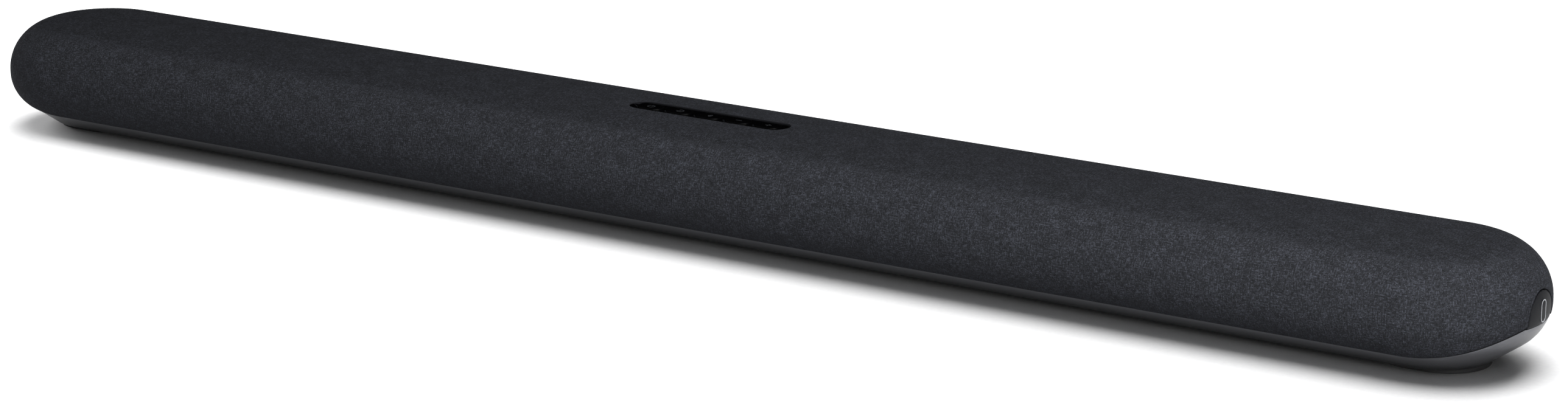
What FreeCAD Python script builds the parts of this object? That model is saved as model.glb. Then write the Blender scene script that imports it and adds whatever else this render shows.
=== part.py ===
"""Slim powered loudspeaker bar with a cloth sleeve over a round-ended moulded housing.

X runs along the bar, -Y is the front, +Z is up. The origin is on the supporting surface, under
the centre of the bar. Every size is in millimetres. The driving sizes are the cells of the
sheet "dims"; all else is bound to them by expressions.
"""
import FreeCAD, Part
import math
import os
import re
import Sketcher
from FreeCAD import Placement, Rotation, Vector

doc = FreeCAD.newDocument("SpeakerBar")
sheet = doc.addObject("Spreadsheet::Sheet", "dims")

DIMENSIONS = {
    # outer form
    "bar_length": 900.0,
    "half_depth": 52.5,
    "bar_height": 59.2,
    "crown_radius": 300.0,
    "shoulder_radius": 26.0,
    "side_radius": 21.1,
    "waist_height": 30.5,
    "chamfer_angle": 35.0,
    "underside_height": 2.9,
    "tool_margin": 10.0,
    # cloth, shells and the parting line between them
    "cloth_thickness": 1.0,
    "cloth_gap": 0.05,
    "housing_wall": 2.6,
    "tray_inset": 0.4,
    "tray_wall": 2.6,
    "tray_floor": 2.4,
    "hem_height": 11.7,
    "hem_radius": 95.0,
    "hem_gap": 0.6,
    "gasket_inset": 1.5,
    "gasket_wall": 1.6,
    # end badges
    "badge_half_width": 12.4,
    "badge_bottom": 25.2,
    "badge_shoulder": 30.0,
    "badge_top": 40.4,
    "badge_gap": 0.5,
    "badge_inset": 0.25,
    "badge_depth": 1.8,
    # control panel and keys
    "panel_end_margin": 2.7,
    "panel_side_margin": 2.6,
    "panel_thickness": 2.0,
    "panel_recess": 0.45,
    "panel_gap": 0.4,
    "key_spacing": 3.0,
    "key_length": 14.6,
    "key_width": 10.0,
    "key_gap": 0.3,
    "key_proud": 0.2,
    "key_travel": 0.5,
    "key_flange": 0.7,
    "key_lip": 0.8,
    "lip_gap": 0.2,
    "stem_gap": 0.1,
    "carrier_rim": 1.2,
    "carrier_flange": 4.0,
    "carrier_thickness": 1.6,
    "carrier_drop": 0.3,
    "stem_radius": 1.5,
    "stem_length": 2.4,
    "switch_size": 6.0,
    "switch_height": 3.1,
    "switch_case_height": 2.1,
    "board_thickness": 1.6,
    # front loudspeakers
    "baffle_face": 37.0,
    "baffle_thickness": 3.0,
    "baffle_length": 760.0,
    "baffle_lift": 1.0,
    "baffle_centre": 33.0,
    "driver_offset": 255.0,
    "flange_thickness": 2.0,
    "cone_length": 74.0,
    "cone_width": 19.0,
    "roll_width": 4.2,
    "cone_gap": 0.35,
    "cone_depth": 6.0,
    "coil_radius": 8.0,
    "coil_wall": 0.6,
    "coil_overlap": 0.5,
    "coil_reach": 4.5,
    "coil_gap": 0.6,
    "magnet_radius": 15.5,
    "magnet_margin": 5.5,
    "back_plate": 2.0,
    "basket_depth": 13.0,
    "basket_wall": 1.5,
    "flange_width": 2.5,
    "surround_thickness": 1.0,
    "surround_fit": 0.05,
    "cone_taper": 38.0,
    "cone_travel": 2.0,
    "tweeter_offset": 340.0,
    "tweeter_radius": 14.5,
    "tweeter_depth": 9.0,
    "tweeter_step": 2.0,
    "dome_radius": 9.5,
    "dome_travel": 0.25,
    "dome_gap": 0.15,
    "dome_rim": 0.4,
    "dome_rise": 3.0,
    "grille_slot": 3.0,
    "grille_pitch": 6.0,
    "grille_height": 26.0,
    # bass ports
    "port_offset": 365.0,
    "port_radius": 10.0,
    "port_wall": 1.6,
    "port_start": -21.0,
    # rear connector bay
    "bay_length": 150.0,
    "bay_bottom": 15.0,
    "bay_top": 39.0,
    "bay_wall": 2.0,
    "bay_face": 36.0,
    "socket_height": 25.0,
    "video_width": 14.0,
    "video_height": 4.6,
    "data_width": 12.5,
    "data_height": 4.6,
    "socket_wall": 0.6,
    "socket_depth": 11.0,
    "optical_width": 9.6,
    "optical_height": 10.0,
    "optical_window": 6.4,
    "optical_recess": 1.2,
    "jack_radius": 1.8,
    "aux_radius": 3.95,
    "aux_hole_gap": 0.05,
    "tongue_length": 9.0,
    "tongue_margin": 1.5,
    "tongue_lift": 0.2,
    "video_tongue": 1.2,
    "data_tongue": 1.9,
    "plug_depth": 10.0,
    "inlet_width": 15.2,
    "inlet_height": 7.8,
    "inlet_depth": 9.0,
    "inlet_wall": 1.6,
    "inlet_pin_radius": 1.2,
    "inlet_pin_spacing": 8.6,
    # boards
    "main_board_length": 146.0,
    "main_board_depth": 54.0,
    "main_board_rear": 34.0,
    "sink_length": 60.0,
    "sink_depth": 26.0,
    "sink_height": 18.0,
    "sink_base": 3.0,
    "fin_thickness": 1.6,
    "fin_pitch": 5.8,
    "supply_offset": 156.0,
    "supply_length": 96.0,
    "supply_depth": 28.0,
    "transformer_length": 30.0,
    "transformer_depth": 24.0,
    "transformer_height": 22.0,
    "capacitor_radius": 5.0,
    "capacitor_height": 20.0,
    "capacitor_pitch": 13.0,
    "spacer_height": 4.0,
    "spacer_radius": 2.5,
    "spacer_inset": 4.0,
    "spacer_front": 6.0,
    "spacer_rear": 16.0,
    "notch_gap": 1.0,
    "sink_setback": 2.0,
    # assembly screws, feet and bracket inserts
    "post_offset_inner": 100.0,
    "post_offset_outer": 318.0,
    "post_row": 20.0,
    "post_radius": 4.0,
    "post_lift": 3.0,
    "post_gap": 0.2,
    "tray_post_wall": 1.4,
    "head_ledge": 2.5,
    "screw_radius": 1.5,
    "screw_head_radius": 2.8,
    "screw_head_height": 1.8,
    "screw_length": 12.0,
    "screw_clearance": 0.1,
    "screw_recess_radius": 1.0,
    "foot_straight": 10.12,
    "foot_margin": 6.8,
    "foot_end_inset": 25.5,
    "foot_seat": 0.8,
    "foot_gap": 0.1,
    "insert_offset": 230.0,
    "insert_hole_radius": 2.0,
    "insert_radius": 3.0,
    "insert_depth": 8.0,
    "insert_wall": 2.0,
}

for row, (alias, size) in enumerate(DIMENSIONS.items(), start=1):
    sheet.set(f"A{row}", alias)
    sheet.set(f"B{row}", str(size))
    sheet.setAlias(f"B{row}", alias)
doc.recompute()

ALIAS = re.compile(r"\b(" + "|".join(DIMENSIONS) + r")\b")
KEY_NAMES = ("power", "source", "pairing", "volume_down", "volume_up")
SIDES = (("left", -1), ("right", 1))

# Formulas that several pieces share.
STRAIGHT = "(bar_length - 2 * half_depth)"
SHOULDER_Z = ("(bar_height - crown_radius + sqrt((crown_radius - shoulder_radius) ^ 2"
              " - (half_depth - shoulder_radius) ^ 2))")
CHAMFER_R = "(half_depth - side_radius + side_radius * sin(chamfer_angle))"
CHAMFER_Z = "(waist_height - side_radius * cos(chamfer_angle))"
UNDERSIDE_R = f"({CHAMFER_R} - ({CHAMFER_Z} - underside_height) / tan(chamfer_angle))"
HOUSING_INSET = "(cloth_thickness + cloth_gap)"
HOUSING_INNER = f"({HOUSING_INSET} + housing_wall)"
TRAY_INNER = "(tray_inset + tray_wall)"
TRAY_TOP = "(underside_height + tray_floor)"
KEY_PITCH = "(key_length + key_spacing)"
PANEL_LENGTH = f"({len(KEY_NAMES)} * {KEY_PITCH} + 2 * panel_end_margin)"
PANEL_WIDTH = "(key_width + 2 * panel_side_margin)"
PANEL_TOP = "(bar_height - panel_recess)"
PANEL_UNDER = f"({PANEL_TOP} - panel_thickness)"
BUTTON_BOARD_TOP = (f"({PANEL_UNDER} - lip_gap - key_flange - stem_length - key_travel"
                    " - stem_gap - switch_height)")
MAIN_BOARD_TOP = "(socket_height - video_height / 2 - socket_wall)"
BAFFLE_BACK = "(-baffle_face + baffle_thickness)"
OPEN_LENGTH = "(cone_length + 2 * cone_gap + 2 * roll_width)"
OPEN_WIDTH = "(cone_width + 2 * cone_gap + 2 * roll_width)"
MOTOR_FACE = "(basket_depth + back_plate)"
MAGNET_LENGTH = "(coil_reach + cone_travel + magnet_margin)"


def formula(text):
    """Give a formula in cell names the form that the expression engine reads."""
    return ALIAS.sub(r"dims.\1", str(text))


def bind(feature, **formulas):
    """Bind properties of a feature to formulas."""
    for prop, text in formulas.items():
        feature.setExpression(prop, formula(text))


def place(feature, x=0, y=0, z=0, rotation=None):
    """Give a feature a placement whose position is bound to formulas."""
    if rotation is not None:
        feature.Placement = Placement(Vector(0, 0, 0), rotation)
    for axis, text in (("x", x), ("y", y), ("z", z)):
        if str(text) != "0":
            feature.setExpression(f"Placement.Base.{axis}", formula(text))
    return feature


gauge = doc.addObject("Part::Vertex", "gauge")


def number(text):
    """Read the present value of a formula, for the first guess of a sketch's geometry."""
    gauge.setExpression("X", formula(text))
    gauge.recompute()
    return gauge.X.Value


def pin(sketch, geometry, point, axis, text):
    """Hold one coordinate of a sketch point at a formula."""
    if str(text) == "0":
        axis_line = -2 if axis == "X" else -1
        sketch.addConstraint(Sketcher.Constraint("PointOnObject", geometry, point, axis_line))
        return
    kind = f"Distance{axis}"
    index = sketch.addConstraint(Sketcher.Constraint(kind, -1, 1, geometry, point, number(text)))
    sketch.setExpression(f"Constraints[{index}]", formula(text))


def outline(sketch, corners, arcs=None):
    """Draw a closed outline through corners; arcs maps a corner's number to the arc after it.

    An arc is (centre x, centre y, radius, turn), where turn is 1 for anticlockwise. Straight
    runs join the other corners.
    """
    arcs = arcs or {}
    points = [Vector(number(x), number(y), 0) for x, y in corners]
    count = len(points)
    ends = []
    for i in range(count):
        start, stop = points[i], points[(i + 1) % count]
        if i not in arcs:
            ends.append((sketch.addGeometry(Part.LineSegment(start, stop), False), 1, 2))
            continue
        centre_x, centre_y, radius, turn = arcs[i]
        centre = Vector(number(centre_x), number(centre_y), 0)
        first, last = (start, stop) if turn > 0 else (stop, start)
        angles = [math.atan2(p.y - centre.y, p.x - centre.x) for p in (first, last)]
        circle = Part.Circle(centre, Vector(0, 0, 1), (first - centre).Length)
        index = sketch.addGeometry(Part.ArcOfCircle(circle, angles[0], angles[1]), False)
        ends.append((index, 1, 2) if turn > 0 else (index, 2, 1))
    for i in range(count):
        geometry, _, tail = ends[i]
        following, head, _ = ends[(i + 1) % count]
        sketch.addConstraint(Sketcher.Constraint("Coincident", geometry, tail, following, head))
    for i, (centre_x, centre_y, radius, _) in arcs.items():
        geometry = ends[i][0]
        pin(sketch, geometry, 3, "X", centre_x)
        pin(sketch, geometry, 3, "Y", centre_y)
        if (i - 1) % count not in arcs:
            index = sketch.addConstraint(Sketcher.Constraint("Radius", geometry, number(radius)))
            sketch.setExpression(f"Constraints[{index}]", formula(radius))
    for i, (x, y) in enumerate(corners):
        geometry, head, _ = ends[i]
        beside = i if i in arcs else (i - 1) % count
        if beside not in arcs:
            pin(sketch, geometry, head, "X", x)
            pin(sketch, geometry, head, "Y", y)
            continue
        centre = Vector(number(arcs[beside][0]), number(arcs[beside][1]), 0)
        arm = points[i] - centre
        axis, text = ("X", x) if abs(arm.y) > abs(arm.x) else ("Y", y)
        pin(sketch, geometry, head, axis, text)


def rectangle(sketch, x, y, width, height):
    """Draw a rectangle about (x, y)."""
    low_x, high_x = f"({x}) - ({width}) / 2", f"({x}) + ({width}) / 2"
    low_y, high_y = f"({y}) - ({height}) / 2", f"({y}) + ({height}) / 2"
    outline(sketch, [(low_x, low_y), (high_x, low_y), (high_x, high_y), (low_x, high_y)])


def stadium(sketch, x, y, length, width):
    """Draw a round-ended slot outline about (x, y), long in the sketch's first direction."""
    radius = f"({width}) / 2"
    low, high = f"({x}) - (({length}) - ({width})) / 2", f"({x}) + (({length}) - ({width})) / 2"
    under, over = f"({y}) - {radius}", f"({y}) + {radius}"
    corners = [(low, under), (high, under), (high, over), (low, over)]
    outline(sketch, corners, {1: (high, y, radius, 1), 3: (low, y, radius, 1)})


def circle(sketch, x, y, radius):
    """Draw a circle about (x, y)."""
    centre = Vector(number(x), number(y), 0)
    geometry = sketch.addGeometry(Part.Circle(centre, Vector(0, 0, 1), number(radius)), False)
    pin(sketch, geometry, 3, "X", x)
    pin(sketch, geometry, 3, "Y", y)
    index = sketch.addConstraint(Sketcher.Constraint("Radius", geometry, number(radius)))
    sketch.setExpression(f"Constraints[{index}]", formula(radius))


# Sketch planes: each gives the sketch's first and second direction and its normal.
SECTION = Rotation(Vector(0, -1, 0), Vector(0, 0, 1), Vector(-1, 0, 0), "XYZ")
FRONT = Rotation(Vector(1, 0, 0), Vector(0, 0, 1), Vector(0, -1, 0), "XYZ")
END = Rotation(Vector(0, 1, 0), Vector(0, 0, 1), Vector(1, 0, 0), "XYZ")
PLAN = Rotation(Vector(1, 0, 0), Vector(0, 1, 0), Vector(0, 0, 1), "XYZ")


def free_sketch(name, plane):
    """Make a sketch that belongs to no body."""
    sketch = doc.addObject("Sketcher::SketchObject", name)
    sketch.Placement = Placement(Vector(0, 0, 0), plane)
    return sketch


def extrude(name, sketch, direction, length, symmetric=True):
    """Extrude a free sketch."""
    solid = doc.addObject("Part::Extrusion", name)
    solid.Base = sketch
    solid.DirMode = "Custom"
    solid.Dir = Vector(*direction)
    solid.Solid = True
    solid.Symmetric = symmetric
    bind(solid, LengthFwd=length)
    return solid


def block(name, x, y, z, length, width, height):
    """Make a box; x and y are its middle, z its lower face."""
    solid = doc.addObject("Part::Box", name)
    bind(solid, Length=length, Width=width, Height=height)
    return place(solid, f"({x}) - ({length}) / 2", f"({y}) - ({width}) / 2", z)


ALONG = {"X": Rotation(Vector(0, 1, 0), 90), "Y": Rotation(Vector(1, 0, 0), -90), "Z": Rotation()}


def rod(name, x, y, z, radius, length, axis="Z"):
    """Make a cylinder that starts at a point and runs along an axis."""
    solid = doc.addObject("Part::Cylinder", name)
    bind(solid, Radius=radius, Height=length)
    return place(solid, x, y, z, ALONG[axis])


def fuse(name, *parts):
    """Join solids."""
    joined = doc.addObject("Part::MultiFuse", name)
    joined.Shapes = list(parts)
    joined.Refine = True
    return joined


def common(name, *parts):
    """Keep what solids share."""
    shared = doc.addObject("Part::MultiCommon", name)
    shared.Shapes = list(parts)
    return shared


def cut(name, base, *tools):
    """Take solids away from a base."""
    tool = tools[0] if len(tools) == 1 else fuse(f"{name}_tools", *tools)
    result = doc.addObject("Part::Cut", name)
    result.Base = base
    result.Tool = tool
    return result


def group(name, *parts):
    """Hold separate solids in one feature."""
    compound = doc.addObject("Part::Compound", name)
    compound.Links = list(parts)
    return compound


def body(name, x=0, y=0, z=0, rotation=None):
    """Make a design body at a place."""
    made = doc.addObject("PartDesign::Body", name)
    return place(made, x, y, z, rotation)


def sketch_on(owner, name, plane="XY_Plane", height=0):
    """Attach a sketch to one of a body's own origin planes, at a height above it."""
    sketch = owner.newObject("Sketcher::SketchObject", name)
    support = next(f for f in owner.Origin.OriginFeatures if f.Role == plane)
    sketch.AttachmentSupport = [(support, "")]
    sketch.MapMode = "FlatFace"
    if str(height) != "0":
        sketch.setExpression("AttachmentOffset.Base.z", formula(height))
    return sketch


def pad(owner, sketch, length, flipped=False):
    """Pad a sketch."""
    feature = owner.newObject("PartDesign::Pad", f"{sketch.Name}_pad")
    feature.Profile = sketch
    feature.Reversed = flipped
    bind(feature, Length=length)
    return feature


def pocket(owner, sketch, length, flipped=False):
    """Cut a sketch into the body, and make sure that it removes material."""
    doc.recompute()
    before = owner.Shape.Volume
    feature = owner.newObject("PartDesign::Pocket", f"{sketch.Name}_pocket")
    feature.Profile = sketch
    feature.Reversed = flipped
    bind(feature, Length=length)
    doc.recompute()
    if owner.Shape.Volume >= before:
        raise RuntimeError(f"{sketch.Name} removes nothing")
    return feature


def revolve(owner, sketch):
    """Turn a sketch a full turn about its own vertical axis."""
    feature = owner.newObject("PartDesign::Revolution", f"{sketch.Name}_turned")
    feature.Profile = sketch
    feature.ReferenceAxis = (sketch, ["V_Axis"])
    return feature


# ---------------------------------------------------------------- outer form
def envelope(name, inset, floor="underside_height"):
    """Make the bar's outer form, shrunk by an inset: a straight section with half-turned ends."""
    shoulder = f"(shoulder_radius - {inset})"
    side = f"(side_radius - {inset})"
    chamfer_r = f"(half_depth - side_radius + {side} * sin(chamfer_angle))"
    chamfer_z = f"(waist_height - {side} * cos(chamfer_angle))"
    lean = "(half_depth - shoulder_radius) / (crown_radius - shoulder_radius)"
    shoulder_r = f"(crown_radius - {inset}) * {lean}"
    shoulder_z = f"(bar_height - crown_radius + (crown_radius - {inset}) * sqrt(1 - ({lean}) ^ 2))"
    corners = [
        ("0", floor),
        (f"{chamfer_r} - ({chamfer_z} - ({floor})) / tan(chamfer_angle)", floor),
        (chamfer_r, chamfer_z),
        (f"half_depth - {inset}", "waist_height"),
        (f"half_depth - {inset}", SHOULDER_Z),
        (shoulder_r, shoulder_z),
        ("0", f"bar_height - {inset}"),
    ]
    arcs = {
        2: ("half_depth - side_radius", "waist_height", side, 1),
        4: ("half_depth - shoulder_radius", SHOULDER_Z, shoulder, 1),
        5: ("0", "bar_height - crown_radius", f"crown_radius - {inset}", 1),
    }
    section = free_sketch(f"{name}_section", SECTION)
    outline(section, corners, arcs)
    front = extrude(f"{name}_front", section, (1, 0, 0), STRAIGHT)
    rear = doc.addObject("Part::Mirroring", f"{name}_rear")
    rear.Source = front
    rear.Normal = Vector(0, 1, 0)
    turned = []
    for side_name, sign in SIDES:
        end = doc.addObject("Part::Revolution", f"{name}_{side_name}_end")
        end.Source = section
        end.Axis = Vector(0, 0, 1)
        end.Angle = 180 * sign
        end.Solid = True
        turned.append(place(end, f"{sign} * {STRAIGHT} / 2"))
    return fuse(name, fuse(f"{name}_straight", front, rear), *turned)


def below_hem(name, gap):
    """Make the space under the parting line, which runs level and then rises at both ends."""
    reach = "(half_depth + tool_margin)"
    rise = f"(hem_height + hem_radius - sqrt((hem_radius + {gap}) ^ 2 - {reach} ^ 2))"
    far = f"({STRAIGHT} / 2 + {reach})"
    level = f"(hem_height - {gap})"
    corners = [
        (f"-{far}", "-tool_margin"), (far, "-tool_margin"), (far, rise),
        (f"{STRAIGHT} / 2", level), (f"-{STRAIGHT} / 2", level), (f"-{far}", rise),
    ]
    centre_z, radius = "hem_height + hem_radius", f"hem_radius + {gap}"
    arcs = {
        2: (f"{STRAIGHT} / 2", centre_z, radius, -1),
        4: (f"-{STRAIGHT} / 2", centre_z, radius, -1),
    }
    sketch = free_sketch(f"{name}_outline", FRONT)
    outline(sketch, corners, arcs)
    return extrude(name, sketch, (0, 1, 0), f"2 * {reach}")


def arch(name, gap):
    """Make the arch-topped prisms through both ends where the badges sit."""
    half = f"(badge_half_width + {gap})"
    sketch = free_sketch(f"{name}_outline", END)
    low, spring = f"badge_bottom - {gap}", "badge_shoulder"
    crown = f"(badge_top + {gap} - badge_shoulder)"
    radius = f"(({half} ^ 2 + {crown} ^ 2) / (2 * {crown}))"
    corners = [(f"-{half}", low), (half, low), (half, spring), (f"-{half}", spring)]
    arcs = {2: ("0", f"badge_top + {gap} - {radius}", radius, 1)}
    outline(sketch, corners, arcs)
    return extrude(name, sketch, (1, 0, 0), "bar_length + 2 * tool_margin")


outer = envelope("outer_form", "0")
cloth_inner = envelope("cloth_inner_form", "cloth_thickness")
housing_outer = envelope("housing_outer_form", HOUSING_INSET)
housing_inner = envelope("housing_inner_form", HOUSING_INNER)
tray_outer = envelope("tray_outer_form", "tray_inset")
tray_inner = envelope("tray_inner_form", TRAY_INNER, TRAY_TOP)
hem_space = below_hem("under_hem", "0")
tray_space = below_hem("under_gap", "hem_gap")
arch_opening = arch("arch_opening", "badge_gap")
BAY_HEIGHT = "(bay_top - bay_bottom)"
bay_opening = block("bay_opening", "0", "half_depth", "bay_bottom", "bay_length",
                    "2 * (half_depth - bay_face) + 2 * bay_wall", BAY_HEIGHT)


def slot_opening(name, gap):
    """Make the round-ended opening for the control panel."""
    sketch = free_sketch(f"{name}_outline", PLAN)
    stadium(sketch, "0", "0", f"{PANEL_LENGTH} + 2 * ({gap})", f"{PANEL_WIDTH} + 2 * ({gap})")
    tool = extrude(name, sketch, (0, 0, 1), "2 * tool_margin", symmetric=False)
    return place(tool, 0, 0, "bar_height - tool_margin")


panel_opening = slot_opening("panel_opening", "panel_gap")
badge_inner = envelope("badge_inner_form", "(badge_inset + badge_depth)")
badge_recess = cut("badge_recess", arch_opening, badge_inner)

# ---------------------------------------------------------------- cloth and shells
cut("fabric_cover", outer, cloth_inner, hem_space, arch_opening, panel_opening, bay_opening)


def grille_slots():
    """Make the upright sound slots in the housing in front of each loudspeaker."""
    tools = []
    for side_name, sign in SIDES:
        for kind, middle, count in (("driver", "driver_offset", 13), ("tweeter", "tweeter_offset", 4)):
            for i in range(count):
                offset = f"{sign} * {middle} + {i - (count - 1) / 2} * grille_pitch"
                name = f"{kind}_slot_{side_name}_{i + 1}"
                tools.append(block(name, offset, "-half_depth", "baffle_centre - grille_height / 2",
                                   "grille_slot", "2 * (half_depth - baffle_face)", "grille_height"))
    return tools


def post_places():
    """List the assembly posts as (name, x, y)."""
    places = []
    for side_name, sign in SIDES:
        for row_name, row_sign in (("front", -1), ("rear", 1)):
            for reach in ("inner", "outer"):
                name = f"{side_name}_{row_name}_{reach}"
                places.append((name, f"{sign} * post_offset_{reach}", f"{row_sign} * post_row"))
    return places


POST_FOOT = f"({TRAY_TOP} + screw_head_height + post_lift)"
HEAD_SEAT = f"({POST_FOOT} - head_ledge)"
posts = [
    common(f"post_{name}",
           rod(f"post_rod_{name}", x, y, POST_FOOT, "post_radius", "bar_height"),
           housing_outer)
    for name, x, y in post_places()
]
housing_screw_holes = [
    rod(f"post_bore_{name}", x, y, POST_FOOT, "screw_radius + screw_clearance / 2", "screw_length")
    for name, x, y in post_places()
]
port_holes = [
    rod(f"port_hole_{side_name}", f"{sign} * port_offset", "0", "baffle_centre",
        "port_radius + port_wall", "bar_length", "Y")
    for side_name, sign in SIDES
]
housing_shell = cut("housing_shell", housing_outer, housing_inner, hem_space, badge_recess)
housing_body = fuse("housing_body", housing_shell, *posts)
cut("upper_housing", housing_body, panel_opening, bay_opening, *grille_slots(),
    *housing_screw_holes, *port_holes)

tray_solid = common("tray_solid", tray_outer, tray_space)
tray_shell = cut("tray_shell", tray_solid, tray_inner, badge_recess)
tray_posts = [
    rod(f"tray_post_{name}", x, y, "underside_height", "post_radius + tray_post_wall",
        f"{POST_FOOT} - underside_height - post_gap")
    for name, x, y in post_places()
]
head_wells = [
    rod(f"head_well_{name}", x, y, "0", "screw_head_radius + screw_clearance * 2",
        HEAD_SEAT)
    for name, x, y in post_places()
]
shank_holes = [
    rod(f"shank_hole_{name}", x, y, "0", "screw_radius + screw_clearance * 2", "bar_height / 2")
    for name, x, y in post_places()
]
FOOT_WIDTH = f"(2 * ({UNDERSIDE_R} - foot_margin))"
FOOT_LENGTH = f"({FOOT_WIDTH} + foot_straight)"
FOOT_MIDDLE = f"(bar_length / 2 - foot_end_inset - {FOOT_LENGTH} / 2)"


def foot_solid(name, sign, gap, top):
    """Make a round-ended foot that stands on the floor and seats in the tray."""
    sketch = free_sketch(f"{name}_outline", PLAN)
    length, width = f"{FOOT_LENGTH} + 2 * ({gap})", f"{FOOT_WIDTH} + 2 * ({gap})"
    stadium(sketch, f"{sign} * {FOOT_MIDDLE}", "0", length, width)
    return extrude(name, sketch, (0, 0, 1), top, symmetric=False)


foot_seats = [
    foot_solid(f"foot_seat_{side_name}", sign, "foot_gap", "underside_height + foot_seat")
    for side_name, sign in SIDES
]
insert_bosses = [
    rod(f"insert_boss_{side_name}", f"{sign} * insert_offset", "0", "underside_height",
        "insert_radius + insert_wall", "insert_depth + insert_wall")
    for side_name, sign in SIDES
]
insert_bores = [
    rod(f"insert_bore_{side_name}", f"{sign} * insert_offset", "0", "0",
        "insert_radius", "underside_height + insert_depth")
    for side_name, sign in SIDES
]
tray_whole = fuse("tray_whole", tray_shell, *tray_posts, *insert_bosses)
cut("base_tray", tray_whole, *head_wells, *shank_holes, *foot_seats, *insert_bores, bay_opening)

gasket_form = cut("gasket_form", envelope("gasket_outer_form", "gasket_inset"),
                  envelope("gasket_inner_form", "(gasket_inset + gasket_wall)"), badge_recess)
gasket_band = cut("gasket_band", hem_space, tray_space)
cut("hem_gasket", common("gasket_ring", gasket_form, gasket_band), bay_opening)

badge_shell = cut("badge_shell", envelope("badge_outer_form", "badge_inset"), badge_inner)
badge_arch = arch("badge_arch", "0")
for side_name, sign in SIDES:
    half_space = block(f"half_space_{side_name}", f"{sign} * bar_length / 2", "0", "0",
                       "bar_length / 2", "2 * half_depth", "bar_height")
    common(f"end_badge_{side_name}", badge_shell, badge_arch, half_space)
    foot_solid(f"foot_{side_name}", sign, "0", "underside_height + foot_seat")

inserts = []
for side_name, sign in SIDES:
    sleeve = rod(f"insert_sleeve_{side_name}", f"{sign} * insert_offset", "0", "underside_height",
                 "insert_radius", "insert_depth")
    hole = rod(f"insert_hole_{side_name}", f"{sign} * insert_offset", "0", "0",
               "insert_hole_radius", "bar_height")
    inserts.append(cut(f"insert_{side_name}", sleeve, hole))
group("bracket_inserts", *inserts)

screws = []
for name, x, y in post_places():
    head = rod(f"screw_head_{name}", x, y, f"{HEAD_SEAT} - screw_head_height",
               "screw_head_radius", "screw_head_height")
    shank = rod(f"screw_shank_{name}", x, y, f"{HEAD_SEAT} - screw_head_height / 2",
                "screw_radius", "screw_length")
    recess = rod(f"screw_recess_{name}", x, y, f"{HEAD_SEAT} - 2 * screw_head_height",
                 "screw_recess_radius", "1.6 * screw_head_height")
    screws.append(cut(f"screw_{name}", fuse(f"screw_body_{name}", head, shank), recess))
group("assembly_screws", *screws)

# ---------------------------------------------------------------- control panel
panel = body("control_panel", 0, 0, PANEL_UNDER)
panel_plan = sketch_on(panel, "panel_plan")
stadium(panel_plan, "0", "0", PANEL_LENGTH, PANEL_WIDTH)
pad(panel, panel_plan, "panel_thickness")


def key_x(i):
    """Give the place of a key along the panel."""
    return f"{i - (len(KEY_NAMES) - 1) / 2} * {KEY_PITCH}"


key_holes = sketch_on(panel, "key_holes")
for i in range(len(KEY_NAMES)):
    stadium(key_holes, key_x(i), "0", "key_length + 2 * key_gap", "key_width + 2 * key_gap")
pocket(panel, key_holes, "panel_thickness", flipped=True)

for i, key in enumerate(KEY_NAMES):
    button = body(f"button_{key}", key_x(i), 0, f"{PANEL_UNDER} - lip_gap")
    cap = sketch_on(button, f"{key}_cap")
    stadium(cap, "0", "0", "key_length", "key_width")
    pad(button, cap, "panel_thickness + key_proud + lip_gap")
    lip = sketch_on(button, f"{key}_lip")
    stadium(lip, "0", "0", "key_length + 2 * key_lip", "key_width + 2 * key_lip")
    pad(button, lip, "key_flange", flipped=True)
    stem = sketch_on(button, f"{key}_stem", height="-key_flange")
    circle(stem, "0", "0", "stem_radius")
    pad(button, stem, "stem_length", flipped=True)

CARRIER_TOP = f"(bar_height - {HOUSING_INNER} - carrier_drop)"
carrier = body("panel_carrier", 0, 0, BUTTON_BOARD_TOP)
well = sketch_on(carrier, "carrier_well")
WELL_SIZE = (f"{PANEL_LENGTH} - 2 * carrier_rim", f"{PANEL_WIDTH} - 2 * carrier_rim")
stadium(well, "0", "0", PANEL_LENGTH, PANEL_WIDTH)
stadium(well, "0", "0", *WELL_SIZE)
pad(carrier, well, f"{PANEL_UNDER} - {BUTTON_BOARD_TOP}")
flange = sketch_on(carrier, "carrier_flange",
                   height=f"{CARRIER_TOP} - carrier_thickness - {BUTTON_BOARD_TOP}")
stadium(flange, "0", "0", f"{PANEL_LENGTH} + 2 * carrier_flange",
        f"{PANEL_WIDTH} + 2 * carrier_flange")
stadium(flange, "0", "0", *WELL_SIZE)
pad(carrier, flange, "carrier_thickness")

board = body("button_board", 0, 0, f"{BUTTON_BOARD_TOP} - board_thickness")
board_plan = sketch_on(board, "button_board_plan")
rectangle(board_plan, "0", "0", PANEL_LENGTH, PANEL_WIDTH)
pad(board, board_plan, "board_thickness")
group("tactile_switches", *[
    fuse(f"switch_{key}",
         block(f"switch_case_{key}", key_x(i), "0", BUTTON_BOARD_TOP, "switch_size", "switch_size",
               "switch_case_height"),
         rod(f"switch_plunger_{key}", key_x(i), "0", f"{BUTTON_BOARD_TOP}", "stem_radius",
             "switch_height"))
    for i, key in enumerate(KEY_NAMES)
])

# ---------------------------------------------------------------- front loudspeakers
baffle_holes = free_sketch("baffle_holes", FRONT)
for side_name, sign in SIDES:
    stadium(baffle_holes, f"{sign} * driver_offset", "baffle_centre", OPEN_LENGTH, OPEN_WIDTH)
    circle(baffle_holes, f"{sign} * tweeter_offset", "baffle_centre",
           "tweeter_radius - tweeter_step")
baffle_blank = common(
    "baffle_blank", housing_inner,
    block("baffle_block", "0", "-baffle_face + baffle_thickness / 2", "hem_height + baffle_lift",
          "baffle_length", "baffle_thickness", "bar_height"))
cut("front_baffle", baffle_blank, extrude("baffle_cutter", baffle_holes, (0, 1, 0), "3 * baffle_face"))


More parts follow.
